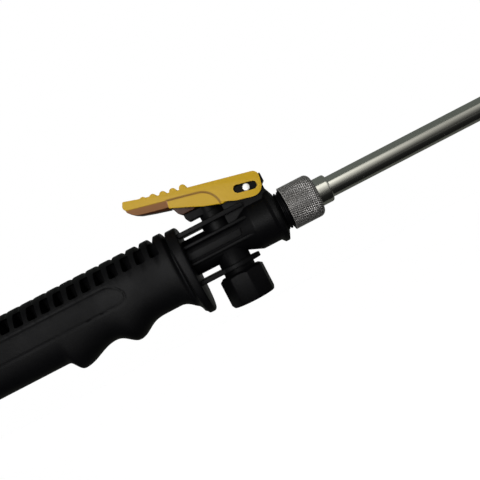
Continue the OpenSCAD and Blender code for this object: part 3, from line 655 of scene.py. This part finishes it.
core = soften([(body_rear, 0), (body_rear, core_r), (valve_x + 7.6, core_r, 3.0), (barrel_x, barrel_r, 3.0),
               (ring_x - 1.0, barrel_r, 0.6), (ring_x + 0.5, ring_r, 0.5), (ring_x + 2.5, ring_r, 0.5),
               (ring_x + 3.3, 11.4, 0.8), (nose_x + 0.1, 9.5, 0.3), (nose_x + 0.1, nose_root_r)],
              closed=False)
core += fine_run(nose_x + 0.2, nose_end - 0.4, nose_root_r, 80)
core += [(nose_end, nose_root_r - 0.3), (nose_end, tube_hole_r), (tube_low.x, tube_hole_r), (tube_low.x, 0)]
nose_thread = thread_radius(nose_root_r, thread_depth, thread_pitch, nose_x, nose_end - 0.3)
body = emboss(lathe(core, 128, closed=False), nose_thread)

upper_plate = slab(body_rear, barrel_x, plate_half, upper_plate_foot, upper_plate_top)
lower_plate = slab(body_rear, valve_x + 2, plate_half, lower_plate_foot, lower_plate_top)
lower_disc = drum([(0, lower_plate_foot), (disc_r, lower_plate_foot, 0.4), (disc_r, lower_plate_top, 0.4),
                   (0, lower_plate_top)])
upper_rib = slab(body_rear, valve_x + 13.5, plate_half, 4.3, 6.1, 0.5)
lower_lip = slab(body_rear, valve_x + 14.3, plate_half, -3.8, -2.3, 0.45)
flat_band = prism(soften([(body_rear, band_foot), (valve_x + 8.0, band_foot, 0.3),
                          (valve_x + 8.7, band_top, 0.3), (body_rear, band_top)], steps=3),
                  plate_half - 0.6, 0.25)
tower = drum([(0, 0), (tower_r, 0), (tower_r, tower_top, 0.4), (0, tower_top)])
neck = drum([(0, neck_foot), (7.0, neck_foot, 0.4), (7.2, -16), (neck_r, -15), (neck_r, 0), (0, 0)])
bracket = prism(soften([(valve_x + 4.8, 2), (valve_x + 4.8, web_foot), (valve_x + 5.9, web_foot),
                        (valve_x + 5.9, web_top, 0.4), (pin_x - 7, web_top, 0.5),
                        (pin_x - 7, pin_z + 2.6, 1.3), (pin_x + 6.2, pin_z + 2.6, 0.3),
                        (pin_x + 7, pin_z + 3.3, 0.3), (pin_x + 8.5, pin_z + 3.3, 0.4),
                        (pin_x + 8.5, pin_z - 1.1, 0.4), (pin_x + 7.2, pin_z - 1.6, 0.3),
                        (pin_x + 7.2, 9), (pin_x + 6, 2)], steps=4), web_half, 0.3)
guide = lathe(soften([(guide_bore_r, web_foot), (web_half, web_foot), (web_half, web_top, 0.3),
                      (guide_bore_r, web_top, 0.2)], steps=3), 96, upright=True)
guide = carve("INTERSECT", guide, slab(valve_x - 1.2, valve_x + 9, 8, 10, 17))
body = carve("UNION", body, guide, upper_plate, lower_plate, lower_disc, upper_rib, lower_lip, flat_band,
             tower,
             neck, bracket)
set_piece("valve_body_moulded", body, "lance_body", "black_plastic", black_nylon, "valve_body", crease=40)

# ---- Valve stem, return spring and plunger ----
# The steel stem and spring work inside the neck; the black plunger on top carries the lever's foot
# on its tab.

drawn_steel, shader, place = new_finish("drawn_steel", Metallic=1.0)
draw_lines = speckle(place, 300.0, 2.0, (0.4, 6.0, 6.0))
paint(shader, place, draw_lines, 0.00001,
      Base_Color=blend(place, draw_lines, (0.5, 0.5, 0.5, 1), (0.64, 0.64, 0.63, 1)),
      Roughness=0.22 + 0.14 * draw_lines)
dress(drawn_steel, "valve_stem", "nozzle_core")

coil = bmesh.new()
coil.from_mesh(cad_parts["return_spring"].data)
bmesh.ops.scale(coil, vec=(1 / MM, 1 / MM, 1 / MM), verts=coil.verts)
bmesh.ops.remove_doubles(coil, verts=coil.verts, dist=0.0005)
coil = set_piece("return_spring_coil", coil, "lance_body", "stainless_steel", drawn_steel,
                 "return_spring", crease=50)
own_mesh(coil)

plunger_low, plunger_high = box_mm("valve_plunger")
plunger_r = 5.4
plunger_foot, plunger_top = 11.4, plunger_high.z
tab_x = plunger_low.x
tab_foot = plunger_top - 3.8
tab_half = 4.6
plunger = drum([(0, plunger_foot), (plunger_r, plunger_foot, 0.4), (plunger_r, plunger_top, 0.6),
                (0, plunger_top)])
tab = prism(soften([(tab_x, plunger_top, 0.4), (tab_x + 0.1, plunger_top - 1.9, 0.3),
                    (tab_x + 1.0, tab_foot, 0.4), (valve_x, tab_foot), (valve_x, plunger_top)], steps=3),
            tab_half, 0.4)
set_piece("plunger_moulded", carve("UNION", plunger, tab), "plunger", "black_plastic", black_nylon,
          "valve_plunger", crease=38)

# ---- Bottom cap ----
# Moulded eight-sided cap with softened corners, screwed on the neck to close the valve chamber.

cap_r = 11.15
cap_bore_r = 7.8
cap_flats = 8
cap_foot = cap_low.z + 0.3
cap_floor = cap_foot + 2.3
cap_turn = math.radians(13)
cap_round = 0.5
dimple_r = 1.2
dimple_top = cap_foot + 0.4


def flat_sided(sides, radius, length, place, edge, segments):
    """A bar with flat sides and softened corners, for cutting a turned blank to its flats."""
    bar = bmesh.new()
    bmesh.ops.create_cone(bar, cap_ends=True, segments=sides, radius1=radius, radius2=radius, depth=length,
                          matrix=place)
    corners = [e for e in bar.edges if abs(e.calc_length() - length) < 0.01]
    bmesh.ops.bevel(bar, geom=corners, offset=edge, offset_type="OFFSET", segments=segments, profile=0.5,
                    affect="EDGES", clamp_overlap=True, material=-1)
    return bar


octagon = flat_sided(cap_flats, cap_r, cap_high.z - cap_low.z + 2,
                     Matrix.Translation((valve_x, 0, (cap_low.z + cap_high.z) / 2))
                     @ Matrix.Rotation(cap_turn - math.radians(90), 4, "Z"), cap_round, 4)
cap_blank = lathe(soften([(cap_bore_r, cap_high.z, 0.3), (cap_r - 2, cap_high.z, 0.4),
                          (cap_r, cap_high.z - 1.4, 0.4), (cap_r, cap_foot + 1.8, 0.4),
                          (cap_r - 1.1, cap_foot, 0.4), (dimple_r, cap_foot, 0.3), (dimple_r, dimple_top),
                          (0, dimple_top), (0, cap_floor), (cap_bore_r, cap_floor)], steps=4),
                  128, upright=True)
set_piece("bottom_cap_moulded", carve("INTERSECT", cap_blank, octagon), "lance_body", "black_plastic",
          black_nylon, "bottom_cap", crease=38)

# ---- Lever and its pin ----
# Yellow moulded thumb lever: a channel whose cheeks stand over the pin block, with grip ridges across
# the thumb rest, a shallow step down to the rear fin of each cheek, and a slot for the bright pin.

lever_tilt = math.radians(12.9)
step_r = 9.0
step_s, step_n = -21.4, -6.1
keel_end = -35.5
lever_half = 9.0
lever_inner = 7.2
lever_top = 6.3
lever_tip = -55.6
nose_s = 7.05
nose_r = 5.1
fin_step = 0.8
keel_half = lever_half - 0.6
keel_taper = 0.45
ridge_first = -27.4
ridge_pitch = 4.6
ridge_tops = (8.25, 7.75, 7.55, 7.45, 7.25)
ridge_valleys = (6.3, 6.2, 6.15, 6.15, 6.6, 6.7)
ridge_r = 1.65
slot_s, slot_n = -0.4, 0.2
slot_half = 3.5
slot_r = 1.9


def arc(s, n, radius, start, end, steps):
    """Points of an arc about (s, n) from one angle to another, in degrees."""
    turns = [math.radians(start + (end - start) * k / steps) for k in range(steps + 1)]
    return [Vector((s + radius * math.cos(t), n + radius * math.sin(t))) for t in turns]


# the top line from nose to tip, with its row of ridges
top_line = soften([(nose_s, 1.4), (nose_s - 0.5, lever_top, 2.8), (0, lever_top)], closed=False)[1:-1]
for k, ridge_top in enumerate(ridge_tops):
    front_dip, rear_dip = [math.degrees(math.asin((valley - ridge_top + ridge_r) / ridge_r))
                           for valley in ridge_valleys[k:k + 2]]
    top_line += arc(ridge_first - k * ridge_pitch, ridge_top - ridge_r, ridge_r, front_dip, 180 - rear_dip,
                    10)
top_line += soften([(-47.8, 6.6), (-48.4, 6.75, 1.0), (lever_tip + 0.7, 7.2, 0.6), (lever_tip, 4.6, 1.6),
                    (lever_tip + 0.7, 3.3, 0.6), (-52, 3.1)], closed=False)[1:]
# the step's edge: along the thumb rest, then an arc down to the cheek's bottom edge
step_line = [Vector((-27, 3.0)), Vector((-21, 2.9))] + arc(step_s, step_n, step_r, 88, 18, 10)
nose_line = [Vector((-5.6, -4.7)), Vector((1.2, -4.8))] + arc(nose_s - nose_r, 0.3, nose_r, -82, -8, 8)
upper = prism(top_line + step_line + nose_line + [Vector((nose_s - 0.1, 2.4))], lever_half, 0.45)
fin = prism(soften([(-36.6, 3.8), (-35.6, -0.6, 0.6), (-27.6, -2.1, 6), (-20.4, -3.6, 6),
                    (-12.0, -4.45, 0.5), (-9, -3.6), (-9, 3.8)], steps=3), lever_half - fin_step, 0.35)
keel = prism(soften([(lever_tip + 0.9, 3.4), (lever_tip + 1.2, 2.2, 0.4), (lever_tip + 3, 0.8, 2),
                     (lever_tip + 6, -0.1, 4), (lever_tip + 12, -0.6), (keel_end, -1.0), (keel_end, 3.4)],
                    steps=4), keel_half, 0.3)
for vert in keel.verts:
    vert.co.y *= keel_taper + (1 - keel_taper) * min(1.0, max(0.0, (vert.co.z + 1) / 4))
channel = slab(-35, nose_s + 5, lever_inner, -12, lever_top - 2.3, 0.3)
open_front = slab(-0.6, nose_s + 5, lever_inner, -12, lever_top + 5, 0.3)
slot = prism(arc(slot_s + slot_half, slot_n, slot_r, -90, 90, 16)
             + arc(slot_s - slot_half, slot_n, slot_r, 90, 270, 16), lever_half + 2)
lever = carve("UNION", upper, fin, keel)
lever = carve("DIFFERENCE", lever, channel, open_front, slot)
foot = prism(soften([(-24, 4.2), (-36, 4.2), (-34.6, -0.7), (-32.7, -3.6, 0.6), (-30.9, -4.65, 0.5),
                     (-24.7, -3.3)]), tab_half, 0.3)
lever = carve("UNION", lever, foot)
bmesh.ops.rotate(lever, cent=(0, 0, 0), matrix=Matrix.Rotation(lever_tilt, 3, "Y"), verts=lever.verts)
bmesh.ops.translate(lever, vec=(pin_x, 0, pin_z), verts=lever.verts)


def axis(place, k):
    """One coordinate of a place: 0 is X, 1 is Y and 2 is Z."""
    return place.node("ShaderNodeSeparateXYZ", {}, {"Vector": place}, out=k)


rest_edge = 2.95
foot_side, foot_roof = 5.2, 3.9
yellow_nylon, shader, place = new_finish("yellow_nylon", Specular_IOR_Level=0.25)
pigment = speckle(place, 90.0, 4.0)
skin_grain = speckle(place, 2200.0, 2.0)
own = place.node("ShaderNodeVectorRotate", {"rotation_type": "Y_AXIS"},
                 {"Vector": place, "Center": (pin_x * MM, 0, pin_z * MM), "Angle": -lever_tilt})
own = own.node("ShaderNodeVectorMath", {"operation": "SUBTRACT"}, {0: own, 1: (pin_x * MM, 0, pin_z * MM)})
along, across, up = [axis(own, k) for k in range(3)]
ahead = along - step_s * MM
above = up - step_n * MM
bend_gap = place.math("ABSOLUTE", place.math("SQRT", ahead * ahead + above * above) - step_r * MM)
rest_gap = place.math("ABSOLUTE", up - rest_edge * MM)
on_bend = place.math("GREATER_THAN", ahead, 0.0)
from_step = rest_gap + on_bend * (bend_gap - rest_gap)
# Painted shadow: a dark ochre line is coloured along the step's edge, where the step's wall falls into shade.
step_painted_shadow = 1 - band(place, from_step, 0.25 * MM, 0.75 * MM)
step_painted_shadow = step_painted_shadow * band(place, along, (keel_end - 1) * MM, keel_end * MM)
step_painted_shadow = step_painted_shadow * band(place, 0 - along, 12.2 * MM, 12.8 * MM)
# Painted shade: the keel under the thumb rest is coloured reddish brown, standing for the shade beneath it.
keel_painted_shade = band(place, (keel_end - 0.05) * MM - along, 0.0, 0.1 * MM)
keel_painted_shade = keel_painted_shade * band(place, 3.2 * MM - up, 0.0, 0.5 * MM)
# Painted shade: the foot under the lever is coloured almost black, standing for the shade it sits in.
foot_painted_shade = band(place, foot_side * MM - place.math("ABSOLUTE", across), 0.0, 0.2 * MM)
foot_painted_shade = foot_painted_shade * band(place, foot_roof * MM - up, 0.0, 0.2 * MM)
foot_painted_shade = foot_painted_shade * band(place, (keel_end + 0.6) * MM - along, -14 * MM, -13 * MM)
yellow = blend(place, pigment, (0.62, 0.37, 0.005, 1), (0.68, 0.42, 0.01, 1))
yellow = blend(place, 0.85 * step_painted_shadow, yellow, (0.26, 0.12, 0.0, 1))
yellow = blend(place, keel_painted_shade, yellow, (0.42, 0.2, 0.09, 1))
yellow = blend(place, foot_painted_shade, yellow, (0.06, 0.02, 0.008, 1))
paint(shader, place, skin_grain, 0.00003, Base_Color=yellow, Roughness=0.38 + 0.12 * skin_grain)
set_piece("thumb_lever_moulded", lever, "lever", "yellow_plastic", yellow_nylon, "lever", crease=38)

pin_half = pin_high.y
pin_r = pin_high.z - pin_z
pin = lathe(soften([(-pin_half, 0), (-pin_half + 0.1, pin_r, 0.35), (pin_half - 0.1, pin_r, 0.35),
                    (pin_half, 0)], closed=False), 64, closed=False)
bmesh.ops.rotate(pin, cent=(0, 0, 0), matrix=Matrix.Rotation(math.radians(90), 3, "Z"), verts=pin.verts)
bmesh.ops.translate(pin, vec=(pin_x, 0, pin_z), verts=pin.verts)
bright_zinc, shader, place = new_finish("bright_zinc", Metallic=0.55)
haze = speckle(place, 900.0)
paint(shader, place, Base_Color=blend(place, haze, (0.78, 0.78, 0.77, 1), (0.86, 0.86, 0.85, 1)),
      Roughness=0.4 + 0.15 * haze)
set_piece("lever_pin_bright", pin, "lever_pin", "stainless_steel", bright_zinc, "lever_pin")

# ---- Knurled nut ----
# Dull nickel-plated nut with a fine diamond knurl; it clamps the collar's flange on the valve body's nose.

knurl_low, knurl_high = box_mm("knurled_nut")
knurl_r = knurl_high.z
knurl_depth = 0.36
knurl_x0 = knurl_low.x + 0.6
knurl_x1 = knurl_high.x - 0.3
knurl_around = 58
knurl_period = math.tau * knurl_r / knurl_around
knurl_rows = round((knurl_x1 - knurl_x0) / knurl_period * 4)
nut_bore_r = 9.2
nut_lip_x = knurl_high.x - 3.6
collar_r = 6.6
collar_hole_r = collar_r + 0.1
shoulder_x = knurl_high.x - 2.7
shoulder_r = collar_r + 1.2


def knurl_radius(x, angle, radius):
    """Two crossed sets of grooves leave small pyramids."""
    if radius < shoulder_r + 0.4 or not knurl_x0 <= x <= knurl_x1:
        return radius
    along = (x - knurl_x0) / knurl_period
    around = angle / math.tau * knurl_around
    crests_of = [1 - abs(2 * ((around + way * along) % 1) - 1) for way in (1, -1)]
    return radius - knurl_depth * (1 - min(crests_of)) * fade(x, knurl_x0, knurl_x1, 0.3)


nut = soften([(knurl_low.x, nut_bore_r, 0.2), (knurl_low.x, knurl_r - 1.1, 0.2),
              (knurl_x0 - 0.25, knurl_r - 0.05)], closed=False)
for row in range(knurl_rows + 1):
    x = knurl_x0 + (knurl_x1 - knurl_x0) * row / knurl_rows
    fall = max(0.0, x - shoulder_x) / (knurl_high.x - shoulder_x)
    nut.append(Vector((x, shoulder_r + (knurl_r - shoulder_r) * math.sqrt(1 - fall * fall))))
nut += soften([(knurl_high.x - 0.2, shoulder_r + 0.3), (knurl_high.x, shoulder_r - 0.4, 0.2),
               (knurl_high.x, collar_hole_r), (nut_lip_x, collar_hole_r), (nut_lip_x, nut_bore_r)],
              closed=False)
nut = emboss(lathe(nut, knurl_around * 4), knurl_radius)

dull_nickel, shader, place = new_finish("dull_nickel", Metallic=0.85)
plating = speckle(place, 500.0)
along, across, upward = [axis(place, k) for k in range(3)]
reach = place.math("SQRT", across * across + upward * upward)
fall = band(place, along, shoulder_x * MM, knurl_high.x * MM)
crest_r = shoulder_r * MM + (knurl_r - shoulder_r) * MM * place.math("SQRT", 1 - fall * fall)
# Painted shade: the knurl's grooves are coloured almost black as shade, while the crests keep the bright
# nickel.
knurl_painted_shade = band(place, reach - crest_r, -0.78 * knurl_depth * MM, -0.12 * knurl_depth * MM)
paint(shader, place, plating, 0.00001,
      Base_Color=blend(place, knurl_painted_shade, (0.012, 0.012, 0.012, 1), (0.95, 0.92, 0.9, 1)),
      Roughness=0.36 + 0.1 * plating)
set_piece("knurled_nut_plated", nut, "knurled_nut", "nickel_plate", dull_nickel, "knurled_nut", crease=25)

# ---- Collar and lance tube ----
# Polished steel tube in a pressed collar whose flange is held by the nut.

polished_steel, shader, place = new_finish("polished_steel", Metallic=1.0)
polish = speckle(place, 260.0, 2.0, (0.06, 3.0, 3.0))
smear = band(place, speckle(place, 45.0, 3.0), 0.35, 0.75)
paint(shader, place, polish, 0.000006,
      Base_Color=blend(place, smear, (0.6, 0.6, 0.56, 1), (0.53, 0.53, 0.49, 1)),
      Roughness=0.1 + 0.1 * smear + 0.05 * polish)

collar_low, collar_high = box_mm("tube_collar")
collar_flange_x = collar_low.x + 2.5
collar_flange_r = collar_high.z
tube_bore_r = tube_r - 1
collar = lathe(soften([(collar_low.x, tube_hole_r), (collar_low.x, collar_flange_r, 0.2),
                       (collar_flange_x, collar_flange_r, 0.2), (collar_flange_x, collar_r, 0.2),
                       (collar_low.x + 3.2, collar_r), (collar_high.x - 1.2, collar_r),
                       (collar_high.x, collar_r, 0.9), (collar_high.x, tube_r + 0.1, 0.1),
                       (collar_high.x - 0.2, tube_hole_r)]), 160)
set_piece("tube_collar_polished", collar, "lance_body", "tube_steel", polished_steel, "tube_collar")
tube = lathe(soften([(tube_low.x, tube_bore_r, 0.1), (tube_low.x, tube_r, 0.1), (tube_low.x + 0.5, tube_r),
                     (tube_high.x - 0.5, tube_r), (tube_high.x, tube_r, 0.1),
                     (tube_high.x, tube_bore_r, 0.1)], steps=2), 160)
set_piece("lance_tube_polished", tube, "lance_body", "tube_steel", polished_steel, "lance_tube")

# ---- Nozzle ----
# Brass nozzle body with a hexagon and a fine thread, pressed on the tube, and a knurled cap that sets
# the spray.

body_low, body_high = box_mm("nozzle_body")
tube_end = tube_high.x
hex_flat = 7.5
hex_r = hex_flat / math.cos(math.radians(30))
hex_t = 7
sleeve_r = tube_r + 1.8
nozzle_neck_r = 6.2
nozzle_root_r = 5.0
nozzle_bore_r = 2.6
nozzle_depth = 0.5
nozzle_pitch = 1.25
socket = soften([(body_low.x, tube_hole_r), (body_low.x, tube_r + 1.1, 0.3), (body_low.x + 1, sleeve_r, 0.4),
                 (tube_end + 1, sleeve_r), (tube_end + 1, nozzle_neck_r),
                 (tube_end + 10.9, nozzle_neck_r, 0.3), (tube_end + 11.1, nozzle_root_r)], closed=False)
socket += fine_run(tube_end + 11.3, body_high.x - 0.3, nozzle_root_r, 36)
socket += [(body_high.x, nozzle_root_r - 0.2), (body_high.x, nozzle_bore_r), (tube_end, nozzle_bore_r),
           (tube_end, tube_hole_r)]
nozzle_thread = thread_radius(nozzle_root_r, nozzle_depth, nozzle_pitch, tube_end + 11.2, body_high.x - 0.2)
socket = emboss(lathe(socket, 96), nozzle_thread)
hexagon = flat_sided(6, hex_r, hex_t, Matrix.Translation((tube_end + 1.5, 0, 0))
                     @ Matrix.Rotation(math.radians(90), 4, "Y"), 0.25, 2)
nut_form = lathe(soften([(tube_end - 2, 6.0), (tube_end - 2, hex_r - 0.9, 0.2), (tube_end - 0.5, hex_r, 0.3),
                         (tube_end + 3.5, hex_r, 0.3), (tube_end + 5, hex_r - 0.9, 0.2),
                         (tube_end + 5, 6.0)]), 96)
hexagon = carve("INTERSECT", nut_form, hexagon)
set_piece("nozzle_body_turned", carve("UNION", socket, hexagon), "lance_body", "brass", turned_brass,
          "nozzle_body", crease=30)

spray_low, spray_high = box_mm("nozzle_cap")
spray_r = 9.0
spray_bore_r = 6.6
spray_hole_r = 0.8
spray_knurls = 36
spray_knurl_height = 0.42


def spray_cap_radius(x, angle, radius):
    """Straight knurls that run along the cap's rear band."""
    if radius < spray_r - 0.1:
        return radius
    crest = abs(2 * ((spray_knurls * angle / math.tau) % 1) - 1)
    return radius + spray_knurl_height * crest * fade(x, spray_low.x + 1.9, spray_low.x + 10.6, 0.5)


cap = soften([(spray_low.x, spray_bore_r, 0.2), (spray_low.x, spray_r - 0.8, 0.2),
              (spray_low.x + 0.8, spray_r, 0.2), (spray_low.x + 1.0, spray_r)], closed=False)
cap += fine_run(spray_low.x + 1.2, spray_low.x + 11.4, spray_r, 22)
cap += soften([(spray_low.x + 12, spray_r), (spray_low.x + 12.8, spray_r - 0.9, 0.3),
               (spray_high.x - 2.5, spray_r - 1.2, 0.8), (spray_high.x, spray_r - 3, 0.6),
               (spray_high.x, 3.2, 0.3), (spray_high.x - 1.4, spray_hole_r, 0.1),
               (spray_high.x - 3.1, spray_hole_r), (tube_end + 20.4, 4.6), (tube_end + 12, spray_bore_r)],
              closed=False)
cap = emboss(lathe(cap, spray_knurls * 6), spray_cap_radius)
set_piece("nozzle_cap_knurled", cap, "nozzle_cap", "brass", turned_brass, "nozzle_cap", crease=30)

# ---- Studio ----
# A pale floor well below the lance, a white surround, soft lamps above and in front, and cards that
# only gloss sees, which give the metal its dark underside, its grey top and its bright front band.

studio_low, studio_high = -1.4, 2.4
floor_z = -0.45


def stage_sheet(name, colour, glow, corners):
    """A flat sheet of the studio through its corners, in metres."""
    mesh = bmesh.new()
    mesh.faces.new([mesh.verts.new(corner) for corner in corners])
    data = bpy.data.meshes.new(name)
    mesh.to_mesh(data)
    mesh.free()
    finish, shader, place = new_finish(name, Base_Color=colour, Roughness=0.9, Emission_Color=glow,
                                       Emission_Strength=1.0)
    data.materials.append(finish)
    sheet = bpy.data.objects.new(name, data)
    bpy.context.scene.collection.objects.link(sheet)
    return sheet, shader, place


def gloss_card(name, glow, corners):
    """A card that only gloss sees."""
    card, shader, place = stage_sheet(name, (0, 0, 0, 1), glow, corners)
    card.visible_camera = False
    card.visible_diffuse = False
    card.visible_transmission = False
    card.visible_shadow = False
    return shader, place


def upright_card(y, low, high):
    """Corners of an upright card behind or in front of the lance."""
    return [(studio_low, y, low), (studio_high, y, low), (studio_high, y, high), (studio_low, y, high)]


def level_card(front, back, height, left=studio_low, right=studio_high):
    """Corners of a level sheet above or below the lance."""
    return [(left, front, height), (right, front, height), (right, back, height), (left, back, height)]


shader, place = stage_sheet("floor", (0.9, 0.9, 0.9, 1), (1, 1, 1, 1),
                            level_card(-3.5, 3.5, floor_z, -3.2, 3.8))[1:]
seen = place.node("ShaderNodeLightPath")
paint(shader, place, Emission_Color=blend(place, seen, (0, 0, 0, 1), (0.84, 0.84, 0.84, 1)))
gloss_card("high_card", (0.15, 0.165, 0.15, 1), level_card(-0.31, 0.95, 0.4))
shader, place = gloss_card("low_card", (0, 0, 0, 1), level_card(-0.21, 0.018, -0.1))
under_axis = band(place, axis(place, 1), -0.2, -0.11)
paint(shader, place,
      Emission_Color=blend(place, under_axis, (0.08, 0.08, 0.075, 1), (0.002, 0.002, 0.002, 1)))
gloss_card("rear_card", (0.11, 0.115, 0.1, 1), level_card(0.0185, 0.95, -0.1))
gloss_card("back_card", (0.22, 0.22, 0.21, 1), upright_card(0.95, -0.1, 0.4))
shader, place = gloss_card("front_card", (1, 1, 1, 1), upright_card(-0.95, -0.9, 1.7))
along, up = axis(place, 0), axis(place, 2)
height = place.math("POWER", band(place, up, -0.6, 0.62), 1.8)
glow = height * (0.2 + 0.8 * band(place, along, 0.24, 0.36)) * (1 - 0.72 * band(place, along, 0.36, 0.72))
paint(shader, place, Emission_Color=blend(place, glow, (0, 0, 0, 1), (1.95, 1.92, 1.79, 1)))

world = bpy.data.worlds.new("studio")
bpy.context.scene.world = world
world.use_nodes = True
air = Dab(world.node_tree)
lit = air.node("ShaderNodeBackground", {}, {"Color": (1, 1, 1, 1), "Strength": 0.12})
shown = air.node("ShaderNodeBackground", {}, {"Color": (1, 1, 1, 1), "Strength": 1.0})
for ray in ("Is Camera Ray", "Is Glossy Ray", "Is Transmission Ray"):
    ray_kind = air.node("ShaderNodeLightPath", out=ray)
    lit = air.node("ShaderNodeMixShader", {}, {0: ray_kind, 1: lit, 2: shown})
world.node_tree.links.new(lit.socket, world.node_tree.nodes["World Output"].inputs["Surface"])


def lamp(name, place, aim, size, power):
    """A soft square lamp at a place, in metres, aimed at a point."""
    data = bpy.data.lights.new(name, "AREA")
    data.size = size
    data.energy = power
    made = bpy.data.objects.new(name, data)
    made.location = place
    made.rotation_euler = (Vector(aim) - Vector(place)).to_track_quat("-Z", "Y").to_euler()
    bpy.context.scene.collection.objects.link(made)


valve_place = Vector((valve_x, 0, 0)) * MM
lamp("front_softbox", valve_place + Vector((-0.2, -0.88, 0.08)), valve_place, 0.5, 4.8)
lamp("top_softbox", valve_place + Vector((0.1, 0.1, 0.9)), valve_place, 0.7, 1.3)

bpy.context.scene.view_settings.view_transform = "Standard"
